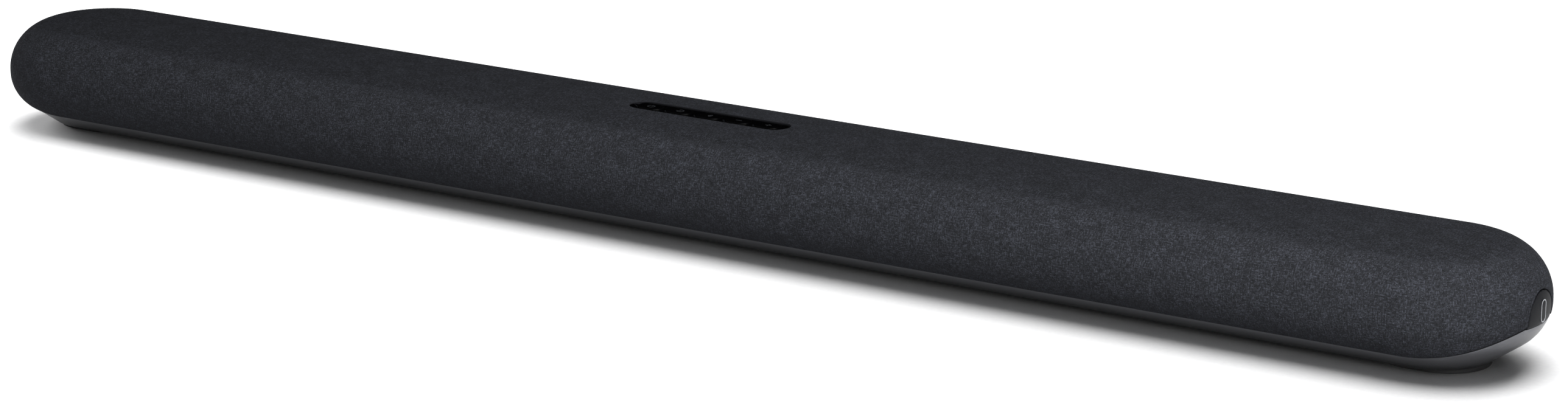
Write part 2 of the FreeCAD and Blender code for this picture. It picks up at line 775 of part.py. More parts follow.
def facing(name, side_sign, offset, depth):
    """Make a body whose local +Z points out of the front, behind the baffle by a depth."""
    return body(name, f"{side_sign} * {offset}", f"{BAFFLE_BACK} + ({depth})", "baffle_centre",
                Rotation(Vector(1, 0, 0), 90))


for side_name, sign in SIDES:
    frame = facing(f"driver_frame_{side_name}", sign, "driver_offset", "flange_thickness")
    flange = sketch_on(frame, f"driver_flange_{side_name}")
    stadium(flange, "0", "0", f"{OPEN_LENGTH} + 2 * flange_width", f"{OPEN_WIDTH} + 2 * flange_width")
    stadium(flange, "0", "0", OPEN_LENGTH, OPEN_WIDTH)
    pad(frame, flange, "flange_thickness")
    basket = sketch_on(frame, f"driver_basket_{side_name}")
    stadium(basket, "0", "0", f"{OPEN_LENGTH} + 2 * basket_wall", f"{OPEN_WIDTH} + 2 * basket_wall")
    stadium(basket, "0", "0", OPEN_LENGTH, OPEN_WIDTH)
    pad(frame, basket, "basket_depth", flipped=True)
    back = sketch_on(frame, f"driver_back_{side_name}", height="-basket_depth")
    stadium(back, "0", "0", f"{OPEN_LENGTH} + 2 * basket_wall", f"{OPEN_WIDTH} + 2 * basket_wall")
    circle(back, "0", "0", "coil_radius + 2 * coil_gap")
    pad(frame, back, "back_plate", flipped=True)

    roll = facing(f"driver_surround_{side_name}", sign, "driver_offset", "flange_thickness")
    ring = sketch_on(roll, f"surround_ring_{side_name}")
    stadium(ring, "0", "0", f"{OPEN_LENGTH} - 2 * surround_fit", f"{OPEN_WIDTH} - 2 * surround_fit")
    stadium(ring, "0", "0", "cone_length + 2 * cone_gap", "cone_width + 2 * cone_gap")
    pad(roll, ring, "surround_thickness")

    cone = facing(f"driver_cone_{side_name}", sign, "driver_offset", "flange_thickness")
    rim = sketch_on(cone, f"cone_rim_{side_name}")
    stadium(rim, "0", "0", "cone_length", "cone_width")
    cone_pad = pad(cone, rim, "cone_depth", flipped=True)
    bind(cone_pad, TaperAngle="-cone_taper")
    tube = sketch_on(cone, f"voice_coil_{side_name}", height="-cone_depth + coil_overlap")
    circle(tube, "0", "0", "coil_radius")
    circle(tube, "0", "0", "coil_radius - coil_wall")
    pad(cone, tube, f"{MOTOR_FACE} - cone_depth + coil_overlap + coil_reach", flipped=True)

    magnet = facing(f"driver_magnet_{side_name}", sign, "driver_offset",
                    f"flange_thickness + {MOTOR_FACE}")
    yoke = sketch_on(magnet, f"magnet_plan_{side_name}")
    circle(yoke, "0", "0", "magnet_radius")
    circle(yoke, "0", "0", "coil_radius + coil_gap")
    pad(magnet, yoke, MAGNET_LENGTH, flipped=True)
    back_plate = sketch_on(magnet, f"back_plate_{side_name}", height=f"-{MAGNET_LENGTH}")
    circle(back_plate, "0", "0", "magnet_radius")
    pad(magnet, back_plate, "back_plate", flipped=True)
    pole = sketch_on(magnet, f"pole_piece_{side_name}")
    circle(pole, "0", "0", "coil_radius - coil_wall - coil_gap")
    pad(magnet, pole, MAGNET_LENGTH, flipped=True)

    tweeter = facing(f"tweeter_{side_name}", sign, "tweeter_offset", "flange_thickness")
    ring = sketch_on(tweeter, f"tweeter_ring_{side_name}")
    circle(ring, "0", "0", "tweeter_radius")
    circle(ring, "0", "0", "dome_radius + cone_gap")
    pad(tweeter, ring, "flange_thickness")
    case = sketch_on(tweeter, f"tweeter_case_{side_name}")
    circle(case, "0", "0", "tweeter_radius - tweeter_step")
    pad(tweeter, case, "tweeter_depth", flipped=True)

    dome = facing(f"tweeter_dome_{side_name}", sign, "tweeter_offset", "flange_thickness")
    half = sketch_on(dome, f"dome_section_{side_name}", "XZ_Plane")
    base = "(dome_travel + dome_gap)"
    rim_z, top = f"({base} + dome_rim)", f"({base} + dome_rim + dome_rise)"
    sphere = "((dome_radius ^ 2 + dome_rise ^ 2) / (2 * dome_rise))"
    corners = [("0", base), ("dome_radius", base), ("dome_radius", rim_z), ("0", top)]
    outline(half, corners, {2: ("0", f"{top} - {sphere}", sphere, 1)})
    revolve(dome, half)

    port = rod(f"port_tube_{side_name}", f"{sign} * port_offset", "port_start", "baffle_centre",
               "port_radius + port_wall", "half_depth - port_start", "Y")
    bore = rod(f"port_bore_{side_name}", f"{sign} * port_offset", "-half_depth", "baffle_centre",
               "port_radius", "2 * half_depth", "Y")
    common(f"bass_port_{side_name}", cut(f"port_wall_{side_name}", port, bore), housing_outer)

# ---------------------------------------------------------------- rear connector bay
SOCKETS = (("video", "14"), ("optical", "40"), ("aux", "56"), ("data", "-12"), ("inlet", "-52"))
SOCKET_X = dict(SOCKETS)
bay_space = block("bay_space", "0", "half_depth", "bay_bottom + bay_wall",
                  "bay_length - 2 * bay_wall", "2 * (half_depth - bay_face)",
                  f"{BAY_HEIGHT} - 2 * bay_wall")
bay_trim = envelope("bay_trim_form", "cloth_thickness")


def socket_case(name, width, height):
    """Make the outer block of a socket, whose mouth is flush with the bay's face."""
    return block(name, SOCKET_X[name.split("_")[0]], "bay_face - socket_depth / 2",
                 f"socket_height - ({height}) / 2", width, "socket_depth", height)


SHELL = "2 * socket_wall"
video_size = (f"video_width + {SHELL}", f"video_height + {SHELL}")
data_size = (f"data_width + {SHELL}", f"data_height + {SHELL}")
optical_size = ("optical_width", "optical_height")
inlet_size = ("inlet_width + 2 * inlet_wall", "inlet_height + 2 * inlet_wall")
bay_holes = [
    socket_case("video_hole", *video_size),
    socket_case("data_hole", *data_size),
    socket_case("optical_hole", *optical_size),
    socket_case("inlet_hole", *inlet_size),
    rod("aux_hole", SOCKET_X["aux"], "bay_face - socket_depth", "socket_height",
        "aux_radius + aux_hole_gap", "2 * socket_depth", "Y"),
]
bay_shell = common("bay_shell", cut("bay_box", bay_opening, bay_space), bay_trim)
cut("connector_bay", bay_shell, *bay_holes)


def socket(label, size, opening, depth):
    """Make a socket as a block with one opening in its rear face."""
    key = label.split("_")[0]
    case = socket_case(f"{key}_case", *size)
    width, height = opening
    well = block(f"{key}_well", SOCKET_X[key], "bay_face", f"socket_height - ({height}) / 2",
                 width, f"2 * {depth}", height)
    return case, well


for key, size in (("video", video_size), ("data", data_size)):
    width, height = f"{key}_width", f"{key}_height"
    case, well = socket(f"{key}_socket", size, (width, height), "plug_depth")
    tongue = block(f"{key}_tongue", SOCKET_X[key],
                   "bay_face - plug_depth + tongue_length / 2 - socket_wall",
                   f"socket_height - {height} / 2 + tongue_lift", f"{width} - 2 * tongue_margin",
                   "tongue_length", f"{key}_tongue")
    fuse(f"{key}_socket", cut(f"{key}_shell", case, well), tongue)
optical_case, optical_well = socket("optical_socket", optical_size,
                                     ("optical_window", "optical_window"), "optical_recess")
cut("optical_socket", optical_case, optical_well)
aux_case = rod("aux_case", SOCKET_X["aux"], "bay_face - socket_depth", "socket_height",
               "aux_radius", "socket_depth", "Y")
aux_bore = rod("aux_bore", SOCKET_X["aux"], "bay_face - plug_depth", "socket_height",
               "jack_radius", "socket_depth", "Y")
cut("aux_socket", aux_case, aux_bore)

inlet_x = SOCKET_X["inlet"]
inlet_case, inlet_well = socket("inlet_socket", inlet_size, ("inlet_width", "inlet_height"),
                                 "inlet_depth")
inlet_pins = [
    rod(f"inlet_pin_{side_name}", f"{inlet_x} + {sign} * inlet_pin_spacing / 2", "bay_face - plug_depth",
        "socket_height", "inlet_pin_radius", "inlet_depth", "Y")
    for side_name, sign in SIDES
]
fuse("mains_inlet", cut("inlet_shell", inlet_case, inlet_well), *inlet_pins)

# ---------------------------------------------------------------- boards
main_board = body("main_board", 0, "main_board_rear - main_board_depth / 2",
                  f"{MAIN_BOARD_TOP} - board_thickness")
main_plan = sketch_on(main_board, "main_board_plan")
rectangle(main_plan, "0", "0", "main_board_length", "main_board_depth")
pad(main_board, main_plan, "board_thickness")
for key, width in (("inlet", inlet_size[0]), ("optical", "optical_width"), ("aux", "2 * aux_radius")):
    notch = sketch_on(main_board, f"board_notch_{key}")
    rectangle(notch, SOCKET_X[key], "main_board_depth / 2", f"{width} + 2 * notch_gap",
              "2 * (socket_depth + 2 * notch_gap)")
    pocket(main_board, notch, "board_thickness", flipped=True)

FIN_COUNT = 5
sink = body("amplifier_heat_sink", 0, "main_board_rear - main_board_depth + sink_depth / 2 + sink_setback",
            MAIN_BOARD_TOP)
sink_plan = sketch_on(sink, "sink_plan")
rectangle(sink_plan, "0", "0", "sink_length", "sink_depth")
pad(sink, sink_plan, "sink_base")
fin = sketch_on(sink, "fin_plan", height="sink_base")
rectangle(fin, "0", "-sink_depth / 2 + fin_thickness / 2", "sink_length", "fin_thickness")
fin_pad = pad(sink, fin, "sink_height - sink_base")
fins = sink.newObject("PartDesign::LinearPattern", "fins")
fins.Originals = [fin_pad]
fins.Direction = (fin, ["V_Axis"])
fins.Mode = "Spacing"
fins.Occurrences = FIN_COUNT
bind(fins, Offset="fin_pitch")
sink.Tip = fins

SUPPLY_BOTTOM = f"({TRAY_TOP} + spacer_height)"
SUPPLY_TOP = f"({SUPPLY_BOTTOM} + board_thickness)"
supply = body("power_supply_board", "-supply_offset", 0, SUPPLY_BOTTOM)
supply_plan = sketch_on(supply, "supply_plan")
rectangle(supply_plan, "0", "0", "supply_length", "supply_depth")
pad(supply, supply_plan, "board_thickness")
block("mains_transformer", "-supply_offset - supply_length / 2 + transformer_length", "0",
      SUPPLY_TOP, "transformer_length", "transformer_depth", "transformer_height")
group("smoothing_capacitors", *[
    rod(f"capacitor_{i + 1}", f"-supply_offset + {i + 0.5} * capacitor_pitch", "0", SUPPLY_TOP,
        "capacitor_radius", "capacitor_height")
    for i in range(2)
])


def spacers(name, places, base, height):
    """Make the spacers between a board and the tray as separate solids in one node."""
    group(name, *[
        rod(f"{name}_{i + 1}", x, y, base, "spacer_radius", height) for i, (x, y) in enumerate(places)
    ])


supply_corners = [
    (f"-supply_offset + {sx} * (supply_length / 2 - spacer_inset)",
     f"{sy} * (supply_depth / 2 - spacer_inset)")
    for sx in (-1, 1) for sy in (-1, 1)
]
board_corners = [
    (f"{sx} * (main_board_length / 2 - spacer_inset)", y)
    for sx in (-1, 1)
    for y in ("main_board_rear - main_board_depth + spacer_front", "main_board_rear - spacer_rear")
]
spacers("supply_spacers", supply_corners, TRAY_TOP, "spacer_height")
spacers("board_spacers", board_corners, TRAY_TOP,
        f"{MAIN_BOARD_TOP} - board_thickness - {TRAY_TOP}")

NODES = [
    "fabric_cover", "upper_housing", "base_tray", "hem_gasket",
    "end_badge_left", "end_badge_right", "foot_left", "foot_right",
    "bracket_inserts", "assembly_screws", "control_panel", "panel_carrier", "button_board",
    "tactile_switches",
    *[f"button_{key}" for key in KEY_NAMES],
    "front_baffle",
    *[f"{piece}_{side_name}" for side_name, _ in SIDES
      for piece in ("driver_frame", "driver_surround", "driver_cone", "driver_magnet",
                    "tweeter", "tweeter_dome", "bass_port")],
    "connector_bay", "video_socket", "data_socket", "optical_socket", "aux_socket", "mains_inlet",
    "main_board", "amplifier_heat_sink", "power_supply_board", "mains_transformer",
    "smoothing_capacitors", "supply_spacers", "board_spacers",
]

doc.recompute()
for feature in doc.Objects:
    if "Invalid" in feature.State or "Error" in feature.State:
        raise RuntimeError(f"{feature.Name} failed: {feature.State} {feature.getStatusString()}")

by_label = {feature.Label: feature for feature in doc.Objects}
os.makedirs("parts", exist_ok=True)
for node in NODES:
    shape = by_label[node].Shape
    if shape.isNull() or not shape.isValid() or not shape.Solids:
        raise RuntimeError(f"{node} has no valid solid")
    shape.exportStep(os.path.join("parts", f"{node}.step"))
    box = shape.BoundBox
    print(f"{node}: {len(shape.Solids)} solids, {shape.Volume:.0f} mm3,"
          f" x {box.XMin:.1f}..{box.XMax:.1f} y {box.YMin:.1f}..{box.YMax:.1f}"
          f" z {box.ZMin:.1f}..{box.ZMax:.1f}")
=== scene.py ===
"""Visual model of the cloth-covered speaker bar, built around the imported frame, in metres."""
import logging
import math
from dataclasses import dataclass
from enum import Enum
from typing import Any, Optional

import bmesh
import bpy
from bmesh.types import BMEdge, BMesh, BMFace, BMVert
from bpy.types import Collection, Material, Node, NodeSocket, NodeTree, Object
from mathutils import Matrix, Vector


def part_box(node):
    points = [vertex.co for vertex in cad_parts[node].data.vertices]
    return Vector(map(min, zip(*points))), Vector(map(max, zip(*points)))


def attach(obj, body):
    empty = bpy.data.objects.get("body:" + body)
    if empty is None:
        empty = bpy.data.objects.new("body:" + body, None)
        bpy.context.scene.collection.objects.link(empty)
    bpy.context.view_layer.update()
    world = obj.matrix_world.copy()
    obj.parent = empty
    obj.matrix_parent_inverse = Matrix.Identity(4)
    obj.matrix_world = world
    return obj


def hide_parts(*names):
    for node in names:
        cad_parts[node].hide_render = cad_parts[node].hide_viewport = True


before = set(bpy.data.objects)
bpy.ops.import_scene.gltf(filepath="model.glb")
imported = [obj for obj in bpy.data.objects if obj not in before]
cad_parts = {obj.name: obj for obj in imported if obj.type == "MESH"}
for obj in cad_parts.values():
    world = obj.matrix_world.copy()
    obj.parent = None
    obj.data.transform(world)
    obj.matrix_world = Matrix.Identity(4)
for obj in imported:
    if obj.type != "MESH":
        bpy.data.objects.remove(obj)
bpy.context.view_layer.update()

MM = 0.001
SIDES = ("left", "right")
MERGE = 1e-6             # vertices closer than this are one
LOG = logging.getLogger("speaker_bar")


# ---- colour and node helpers
def linear(code: str) -> tuple[float, float, float, float]:
    """Turn an sRGB hex colour into linear light.

    Args:
        code: Six hex digits after a hash sign.

    Returns:
        Red, green, blue and an alpha of one.
    """
    channels = [int(code[i:i + 2], 16) / 255 for i in (1, 3, 5)]
    values = [c / 12.92 if c <= 0.04045 else ((c + 0.055) / 1.055) ** 2.4 for c in channels]
    return (*values, 1.0)


def add(tree: NodeTree, kind: str, inputs: Optional[dict] = None,
        stops: tuple[tuple[float, str], ...] = (), **settings: Any) -> Node:
    """Add a node with its settings, values and links.

    Args:
        tree: The node tree that gets the node.
        kind: The node's type name, without its usual first part.
        inputs: Input names or numbers, each with a value, an output, or a node whose first
            output feeds it.
        stops: Rising positions with their sRGB hex colours, for a node with a colour scale.
        settings: Properties of the node itself.

    Returns:
        The new node.
    """
    node = tree.nodes.new(kind if kind.startswith("NodeGroup") else f"ShaderNode{kind}")
    for name, value in settings.items():
        setattr(node, name, value)
    for i, (position, code) in enumerate(stops):
        elements = node.color_ramp.elements
        element = elements[i] if i < len(elements) else elements.new(position)
        element.position = position
        element.color = linear(code)
    for key, value in (inputs or {}).items():
        socket = node.inputs[key]
        if isinstance(value, Node):
            value = value.outputs[0]
        if isinstance(value, NodeSocket):
            tree.links.new(value, socket)
        else:
            socket.default_value = value
    return node


# ---- finishes
class Stuff:
    """What every finish shares: it becomes a material from the surface values that it gives."""

    name: str

    def surface(self, tree: NodeTree) -> dict:
        """Give the surface shader's values and links, after adding the nodes they need.

        Args:
            tree: The material's node tree.

        Returns:
            The surface shader's inputs.
        """
        raise NotImplementedError

    def material(self) -> Material:
        """Make the material.

        Returns:
            The material.
        """
        made = bpy.data.materials.new(self.name)
        made.use_nodes = True
        tree = made.node_tree
        tree.nodes.clear()
        shader = add(tree, "BsdfPrincipled", self.surface(tree))
        add(tree, "OutputMaterial", {"Surface": shader})
        return made


@dataclass(frozen=True)
class MelangeCloth(Stuff):
    """Woven melange polyester, matt, with dark and light threads mixed at random."""

    # it gives the eye a soft charcoal that is never flat: pale flecks from close by, a faint
    # cloudiness from further off, and no highlight anywhere
    name: str = "woven_melange_polyester"
    dark: str = "#1b1c1e"
    middle: str = "#2d2e32"
    light: str = "#50535c"
    nap: str = "#c8cddc"
    # the threads lie 0.65 mm apart, drawn coarser than the real 0.5 mm or so, so that the weave
    # still shows when the whole bar is in view
    thread: float = 0.65 * MM
    streak: float = 2.4 * MM        # a mixed thread keeps its shade for this long
    patch: float = 8.0 * MM         # the yarn's shade drifts over this far
    relief: float = 0.18 * MM       # a thread stands this far over its neighbour
    # painted shade: the top of the cloth is coloured a shade darker than its sides, for the light
    # that falls on the top less than on the front
    painted_top_shade: float = 0.80
    # the cloth is taken as top where the upright share of its normal is above the second value
    top_slope: tuple[float, float] = (0.87, 0.95)

    def weave(self) -> NodeTree:
        """Make the node group that turns cloth coordinates into a colour and a height.

        Returns:
            The node group, with a vector input and colour and height outputs.
        """
        tree = bpy.data.node_groups.new("plain_weave", "ShaderNodeTree")
        tree.interface.new_socket("Vector", in_out="INPUT", socket_type="NodeSocketVector")
        tree.interface.new_socket("Color", in_out="OUTPUT", socket_type="NodeSocketColor")
        tree.interface.new_socket("Height", in_out="OUTPUT", socket_type="NodeSocketFloat")
        place = add(tree, "NodeGroupInput").outputs["Vector"]
        across, along = 1 / self.thread, 1 / self.streak
        shades = []
        for stretch in ((across, along, 1.0), (along, across, 1.0)):
            mapped = add(tree, "Mapping", {"Vector": place, "Scale": stretch})
            noise = add(tree, "TexNoise", {"Vector": mapped, "Scale": 1.0,
                                           "Detail": 2.0, "Roughness": 0.6})
            shades.append(noise)
        parts = add(tree, "SeparateXYZ", {0: place})
        waves = []
        for axis in (0, 1):
            turn = add(tree, "Math",
                       {0: parts.outputs[axis], 1: math.pi / self.thread}, operation="MULTIPLY")
            waves.append(add(tree, "Math", {0: turn}, operation="SINE"))
        # the product's sign says which thread lies on top, and its size how high it stands
        product = add(tree, "Math", {0: waves[0], 1: waves[1]}, operation="MULTIPLY")
        over = add(tree, "MapRange", {0: product, 1: -0.35, 2: 0.35, 3: 0.0, 4: 1.0})
        shade = add(tree, "Mix", {0: over, 2: shades[0], 3: shades[1]}, data_type="FLOAT")
        patches = add(tree, "TexNoise", {"Vector": place, "Scale": 1 / self.patch,
                                         "Detail": 4.0, "Roughness": 0.6})
        drift = add(tree, "Math", {0: patches, 1: 0.22, 2: -0.11}, operation="MULTIPLY_ADD")
        total = add(tree, "Math", {0: shade, 1: drift}, operation="ADD")
        colour = add(tree, "ValToRGB", {"Fac": total},
                     stops=((0.30, self.dark), (0.50, self.middle), (0.72, self.light)))
        crest = add(tree, "Math", {0: product}, operation="ABSOLUTE")
        height = add(tree, "Math", {0: total, 1: 0.6, 2: crest}, operation="MULTIPLY_ADD")
        add(tree, "NodeGroupOutput", {"Color": colour.outputs["Color"], "Height": height})
        return tree

    def surface(self, tree: NodeTree) -> dict:
        """Weave the sides on the wrap's own map and the top on plan coordinates.

        Args:
            tree: The material's node tree.

        Returns:
            The surface shader's inputs.
        """
        group = self.weave()
        place = add(tree, "TexCoord")
        wrap = add(tree, "UVMap", uv_map="wrap")
        side = add(tree, "Group", {0: wrap}, node_tree=group)
        top = add(tree, "Group", {0: place.outputs["Object"]}, node_tree=group)
        facing = add(tree, "SeparateXYZ", {0: place.outputs["Normal"]})
        low, high = self.top_slope
        blend = add(tree, "MapRange", {0: facing.outputs[2], 1: low, 2: high, 3: 0.0, 4: 1.0})
        # painted shade: the top's weave colour is multiplied down here, so the top reads darker
        # than the sides
        crown = add(tree, "Mix",
                    {0: 1.0, 6: top.outputs["Color"], 7: (*(self.painted_top_shade,) * 3, 1.0)},
                    data_type="RGBA", blend_type="MULTIPLY")
        colour = add(tree, "Mix",
                     {0: blend, 6: side.outputs["Color"], 7: crown.outputs[2]},
                     data_type="RGBA")
        height = add(tree, "Mix",
                     {0: blend, 2: side.outputs["Height"], 3: top.outputs["Height"]},
                     data_type="FLOAT")
        bump = add(tree, "Bump", {"Height": height, "Strength": 0.55, "Distance": self.relief})
        return {"Base Color": colour.outputs[2], "Roughness": 0.92, "Sheen Weight": 0.02,
                "Sheen Roughness": 0.5, "Sheen Tint": linear(self.nap),
                "Specular IOR Level": 0.12, "Normal": bump}


@dataclass(frozen=True)
class Moulded(Stuff):
    """Moulded plastic or rubber: one colour with a slight drift and a fine moulded grain."""

    # it gives the eye an even skin whose highlight is broken up a little by the tool's texture
    name: str
    colour: str
    drift: str
    roughness: float
    grain: float = 0.25 * MM            # spacing of the tool's texture
    grain_depth: float = 0.012 * MM     # its depth
    shine: float = 0.5
    flow: float = 16.7 * MM             # the melt's colour and gloss drift over this far
    # painted shade: where a side tucks in below, its colour darkens towards the lower edge, as if
    # in shade
    painted_shade: Optional[str] = None
    painted_shade_low: float = 3.7 * MM
    painted_shade_high: float = 12.0 * MM

    def surface(self, tree: NodeTree) -> dict:
        """Give the moulded skin.

        Args:
            tree: The material's node tree.

        Returns:
            The surface shader's inputs.
        """
        place = add(tree, "TexCoord").outputs["Object"]
        flow = add(tree, "TexNoise", {"Vector": place, "Scale": 1 / self.flow, "Detail": 3.0})
        tone = add(tree, "ValToRGB", {"Fac": flow}, stops=((0.3, self.colour), (0.75, self.drift)))
        # painted shade: the colour is darkened towards the lower edge
        if self.painted_shade:
            height = add(tree, "SeparateXYZ", {0: place})
            fade = add(tree, "MapRange", {0: height.outputs[2], 1: self.painted_shade_low,
                                          2: self.painted_shade_high, 3: 0.0, 4: 1.0})
            tone = add(tree, "Mix", {0: fade, 6: linear(self.painted_shade), 7: tone},
                       data_type="RGBA").outputs[2]
        wear = add(tree, "MapRange", {0: flow, 3: self.roughness * 0.9, 4: self.roughness * 1.12})
        grain = add(tree, "TexNoise", {"Vector": place, "Scale": 1 / self.grain,
                                       "Detail": 2.0, "Roughness": 0.6})
        bump = add(tree, "Bump", {"Height": grain, "Strength": 1.0, "Distance": self.grain_depth})
        return {"Base Color": tone, "Roughness": wear,
                "Specular IOR Level": self.shine, "Normal": bump}


@dataclass(frozen=True)
class Metal(Stuff):
    """Bare or plated metal: drawn, turned or pressed, with fine lines along one direction."""

    # it gives the eye a highlight that is drawn out across the lines, and a slight tarnish
    name: str
    colour: str
    drift: str
    roughness: float
    lines: tuple[float, float, float] = (1.5 * MM, 1.5 * MM, 0.125 * MM)    # a line's size
    line_depth: float = 0.01 * MM
    tarnish: float = 5.55 * MM          # the tarnish changes over this far

    def surface(self, tree: NodeTree) -> dict:
        """Give the worked metal.

        Args:
            tree: The material's node tree.

        Returns:
            The surface shader's inputs.
        """
        place = add(tree, "TexCoord").outputs["Object"]
        mapped = add(tree, "Mapping",
                     {"Vector": place, "Scale": tuple(1 / size for size in self.lines)})
        lines = add(tree, "TexNoise", {"Vector": mapped, "Scale": 1.0, "Detail": 4.0})
        tarnish = add(tree, "TexNoise", {"Vector": place, "Scale": 1 / self.tarnish, "Detail": 3.0})
        colour = add(tree, "ValToRGB", {"Fac": tarnish},
                     stops=((0.35, self.colour), (0.8, self.drift)))
        wear = add(tree, "MapRange", {0: lines, 3: self.roughness * 0.8, 4: self.roughness * 1.3})
        bump = add(tree, "Bump", {"Height": lines, "Strength": 0.6, "Distance": self.line_depth})
        return {"Base Color": colour, "Metallic": 1.0, "Roughness": wear, "Normal": bump}


@dataclass(frozen=True)
class Laminate(Stuff):
    """Glass-epoxy circuit board: green resist over copper tracks."""

    # it gives the eye a slightly glossy green with a net of paler tracks
    name: str = "glass_epoxy_board"
    resist: str = "#12401f"
    track: str = "#2f6b33"
    pitch: float = 2.5 * MM             # spacing of the tracks, near the usual 2.54 mm
    track_height: float = 0.03 * MM

    def surface(self, tree: NodeTree) -> dict:
        """Give the board's resist and tracks.

        Args:
            tree: The material's node tree.

        Returns:
            The surface shader's inputs.
        """
        place = add(tree, "TexCoord").outputs["Object"]
        cells = add(tree, "TexVoronoi", {"Vector": place, "Scale": 1 / self.pitch},
                    distance="CHEBYCHEV")
        tracks = add(tree, "ValToRGB", {"Fac": cells},
                     stops=((0.36, self.resist), (0.42, self.track), (0.50, self.resist)))
        bump = add(tree, "Bump", {"Height": cells, "Strength": 0.3, "Distance": self.track_height})
        return {"Base Color": tracks, "Roughness": 0.32, "Normal": bump}


@dataclass(frozen=True)
class PressedFibre(Stuff):
    """Pulp cone or coated silk: fibres lying every way under a thin coat."""

    # it gives the eye a matt black with short paler hairs in it
    name: str
    colour: str
    fibre: str
    length: float = 1.2 * MM            # a fibre's length
    relief: float = 0.05 * MM

    def surface(self, tree: NodeTree) -> dict:
        """Give the fibres.

        Args:
            tree: The material's node tree.

        Returns:
            The surface shader's inputs.
        """
        place = add(tree, "TexCoord").outputs["Object"]
        fibres = add(tree, "TexNoise", {"Vector": place, "Scale": 1 / self.length,
                                        "Detail": 6.0, "Distortion": 2.0})
        colour = add(tree, "ValToRGB", {"Fac": fibres},
                     stops=((0.4, self.colour), (0.62, self.fibre)))
        bump = add(tree, "Bump", {"Height": fibres, "Strength": 0.5, "Distance": self.relief})
        return {"Base Color": colour, "Roughness": 0.85, "Normal": bump}


@dataclass(frozen=True)
class Paper(Stuff):
    """Matt white background paper."""

    # it gives the eye a plain white ground that only the shadow marks
    name: str = "white_paper_sweep"
    tooth: float = 2.5 * MM             # the paper's shade changes over this far

    def surface(self, tree: NodeTree) -> dict:
        """Give the paper.

        Args:
            tree: The material's node tree.

        Returns:
            The surface shader's inputs.
        """
        place = add(tree, "TexCoord").outputs["Object"]
        tooth = add(tree, "TexNoise", {"Vector": place, "Scale": 1 / self.tooth, "Detail": 2.0})
        colour = add(tree, "ValToRGB", {"Fac": tooth}, stops=((0.3, "#f6f6f7"), (0.7, "#fbfbfb")))
        return {"Base Color": colour, "Roughness": 0.9, "Specular IOR Level": 0.1}


class Finish(Enum):
    """Every finish on the bar, by what it is and how it was made."""

    CLOTH = MelangeCloth()
    # a plain fine-textured black that stays in the background
    HOUSING = Moulded("moulded_black_abs", "#161617", "#1b1b1d", 0.62)
    # a satin grey strip: a thin bright line under the cloth, with painted shade that darkens it
    # towards its lower edge
    BAND = Moulded("satin_grey_abs", "#6a6b70", "#6e6f74", 0.34, grain=0.3 * MM,
                   grain_depth=0.006 * MM, painted_shade="#2a2b2e")
    # a near-black, smoother than the cloth round it
    BADGE = Moulded("satin_charcoal_abs", "#111215", "#15161a", 0.55, grain_depth=0.005 * MM,
                    shine=0.12)
    # thin pale ink, the lightest thing on the bar
    MARK = Moulded("pale_pad_print", "#b9bcc2", "#c6c9cf", 0.45, grain_depth=0.003 * MM)
    # a dull black foam strip in the groove under the hem, partly painted shade: its near-black
    # stands in for the groove's shadow and reads as a gap
    FOAM = Moulded("black_foam_and_gap_shade", "#070707", "#0d0d0d", 0.95, grain=0.5 * MM,
                   grain_depth=0.05 * MM)
    # a dull black without a highlight
    RUBBER = Moulded("moulded_rubber", "#0c0c0d", "#121213", 0.74, grain=0.35 * MM,
                     grain_depth=0.02 * MM)
    # a black mirror, almost without grain, so its 2 mm waviness only bends reflections
    GLOSS = Moulded("polished_black_acrylic", "#040405", "#060607", 0.09, grain=2.0 * MM,
                    grain_depth=0.001 * MM, shine=0.4)
    # black keys that are told from the panel by a softer highlight
    KEY = Moulded("satin_black_key", "#030304", "#060607", 0.28, grain_depth=0.003 * MM, shine=0.08)
    # dark grey ink that shows from close by only
    LEGEND = Moulded("grey_key_print", "#2c2e31", "#34363a", 0.5, grain_depth=0.002 * MM)
    # a coarse, dull texture round the sockets
    BAY = Moulded("spark_textured_abs", "#101011", "#161617", 0.55, grain=0.4 * MM,
                  grain_depth=0.03 * MM)
    # a dense, slightly shiny black
    SOCKET = Moulded("glass_filled_nylon", "#0b0b0c", "#111112", 0.5)
    # a warm bright metal round the sockets' mouths
    NICKEL = Metal("nickel_plated_steel", "#b9b5ab", "#a9a59b", 0.24)
    # thin yellow glints on a socket's tongue
    GOLD = Metal("gold_flashed_contact", "#d9b25a", "#c79f49", 0.22)
    # a cool grey metal on the screws
    ZINC = Metal("zinc_plated_steel", "#8f9194", "#7b7d80", 0.34)
    # a yellow metal on inserts and spacers
    BRASS = Metal("turned_brass", "#c29a4e", "#a98340", 0.30)
    # an even black paint over pressed steel
    BASKET = Moulded("painted_pressed_steel", "#141415", "#1a1a1c", 0.42)
    # a dull, dark and heavy-looking grey
    FERRITE = Metal("sintered_ferrite", "#2c2d30", "#232427", 0.58)
    # a pale metal with lines along the extrusion, 7.5 mm long and 0.25 mm wide
    SINK = Metal("extruded_aluminium", "#c3c5c8", "#b1b3b7", 0.30,
                 lines=(7.5 * MM, 0.25 * MM, 0.25 * MM))
    # a brown varnished block
    CORE = Moulded("taped_laminated_core", "#4b4126", "#5a5030", 0.6, grain=0.5 * MM,
                   grain_depth=0.05 * MM)
    # a dark, glossy shrunk sleeve
    SLEEVE = Moulded("printed_can_sleeve", "#14161d", "#1c1f28", 0.35)
    BOARD = Laminate()
    CONE = PressedFibre("coated_paper_pulp", "#101011", "#1e1e20")
    SILK = PressedFibre("coated_silk", "#151516", "#242427", 0.6 * MM)
    PAPER = Paper()

    def dress(self, piece: Object) -> None:
        """Give a piece this finish in every material slot.

        Args:
            piece: The object to dress.
        """
        material = bpy.data.materials.get(self.value.name) or self.value.material()
        if not piece.material_slots:
            piece.data.materials.append(material)
        for place in piece.material_slots:
            place.material = material


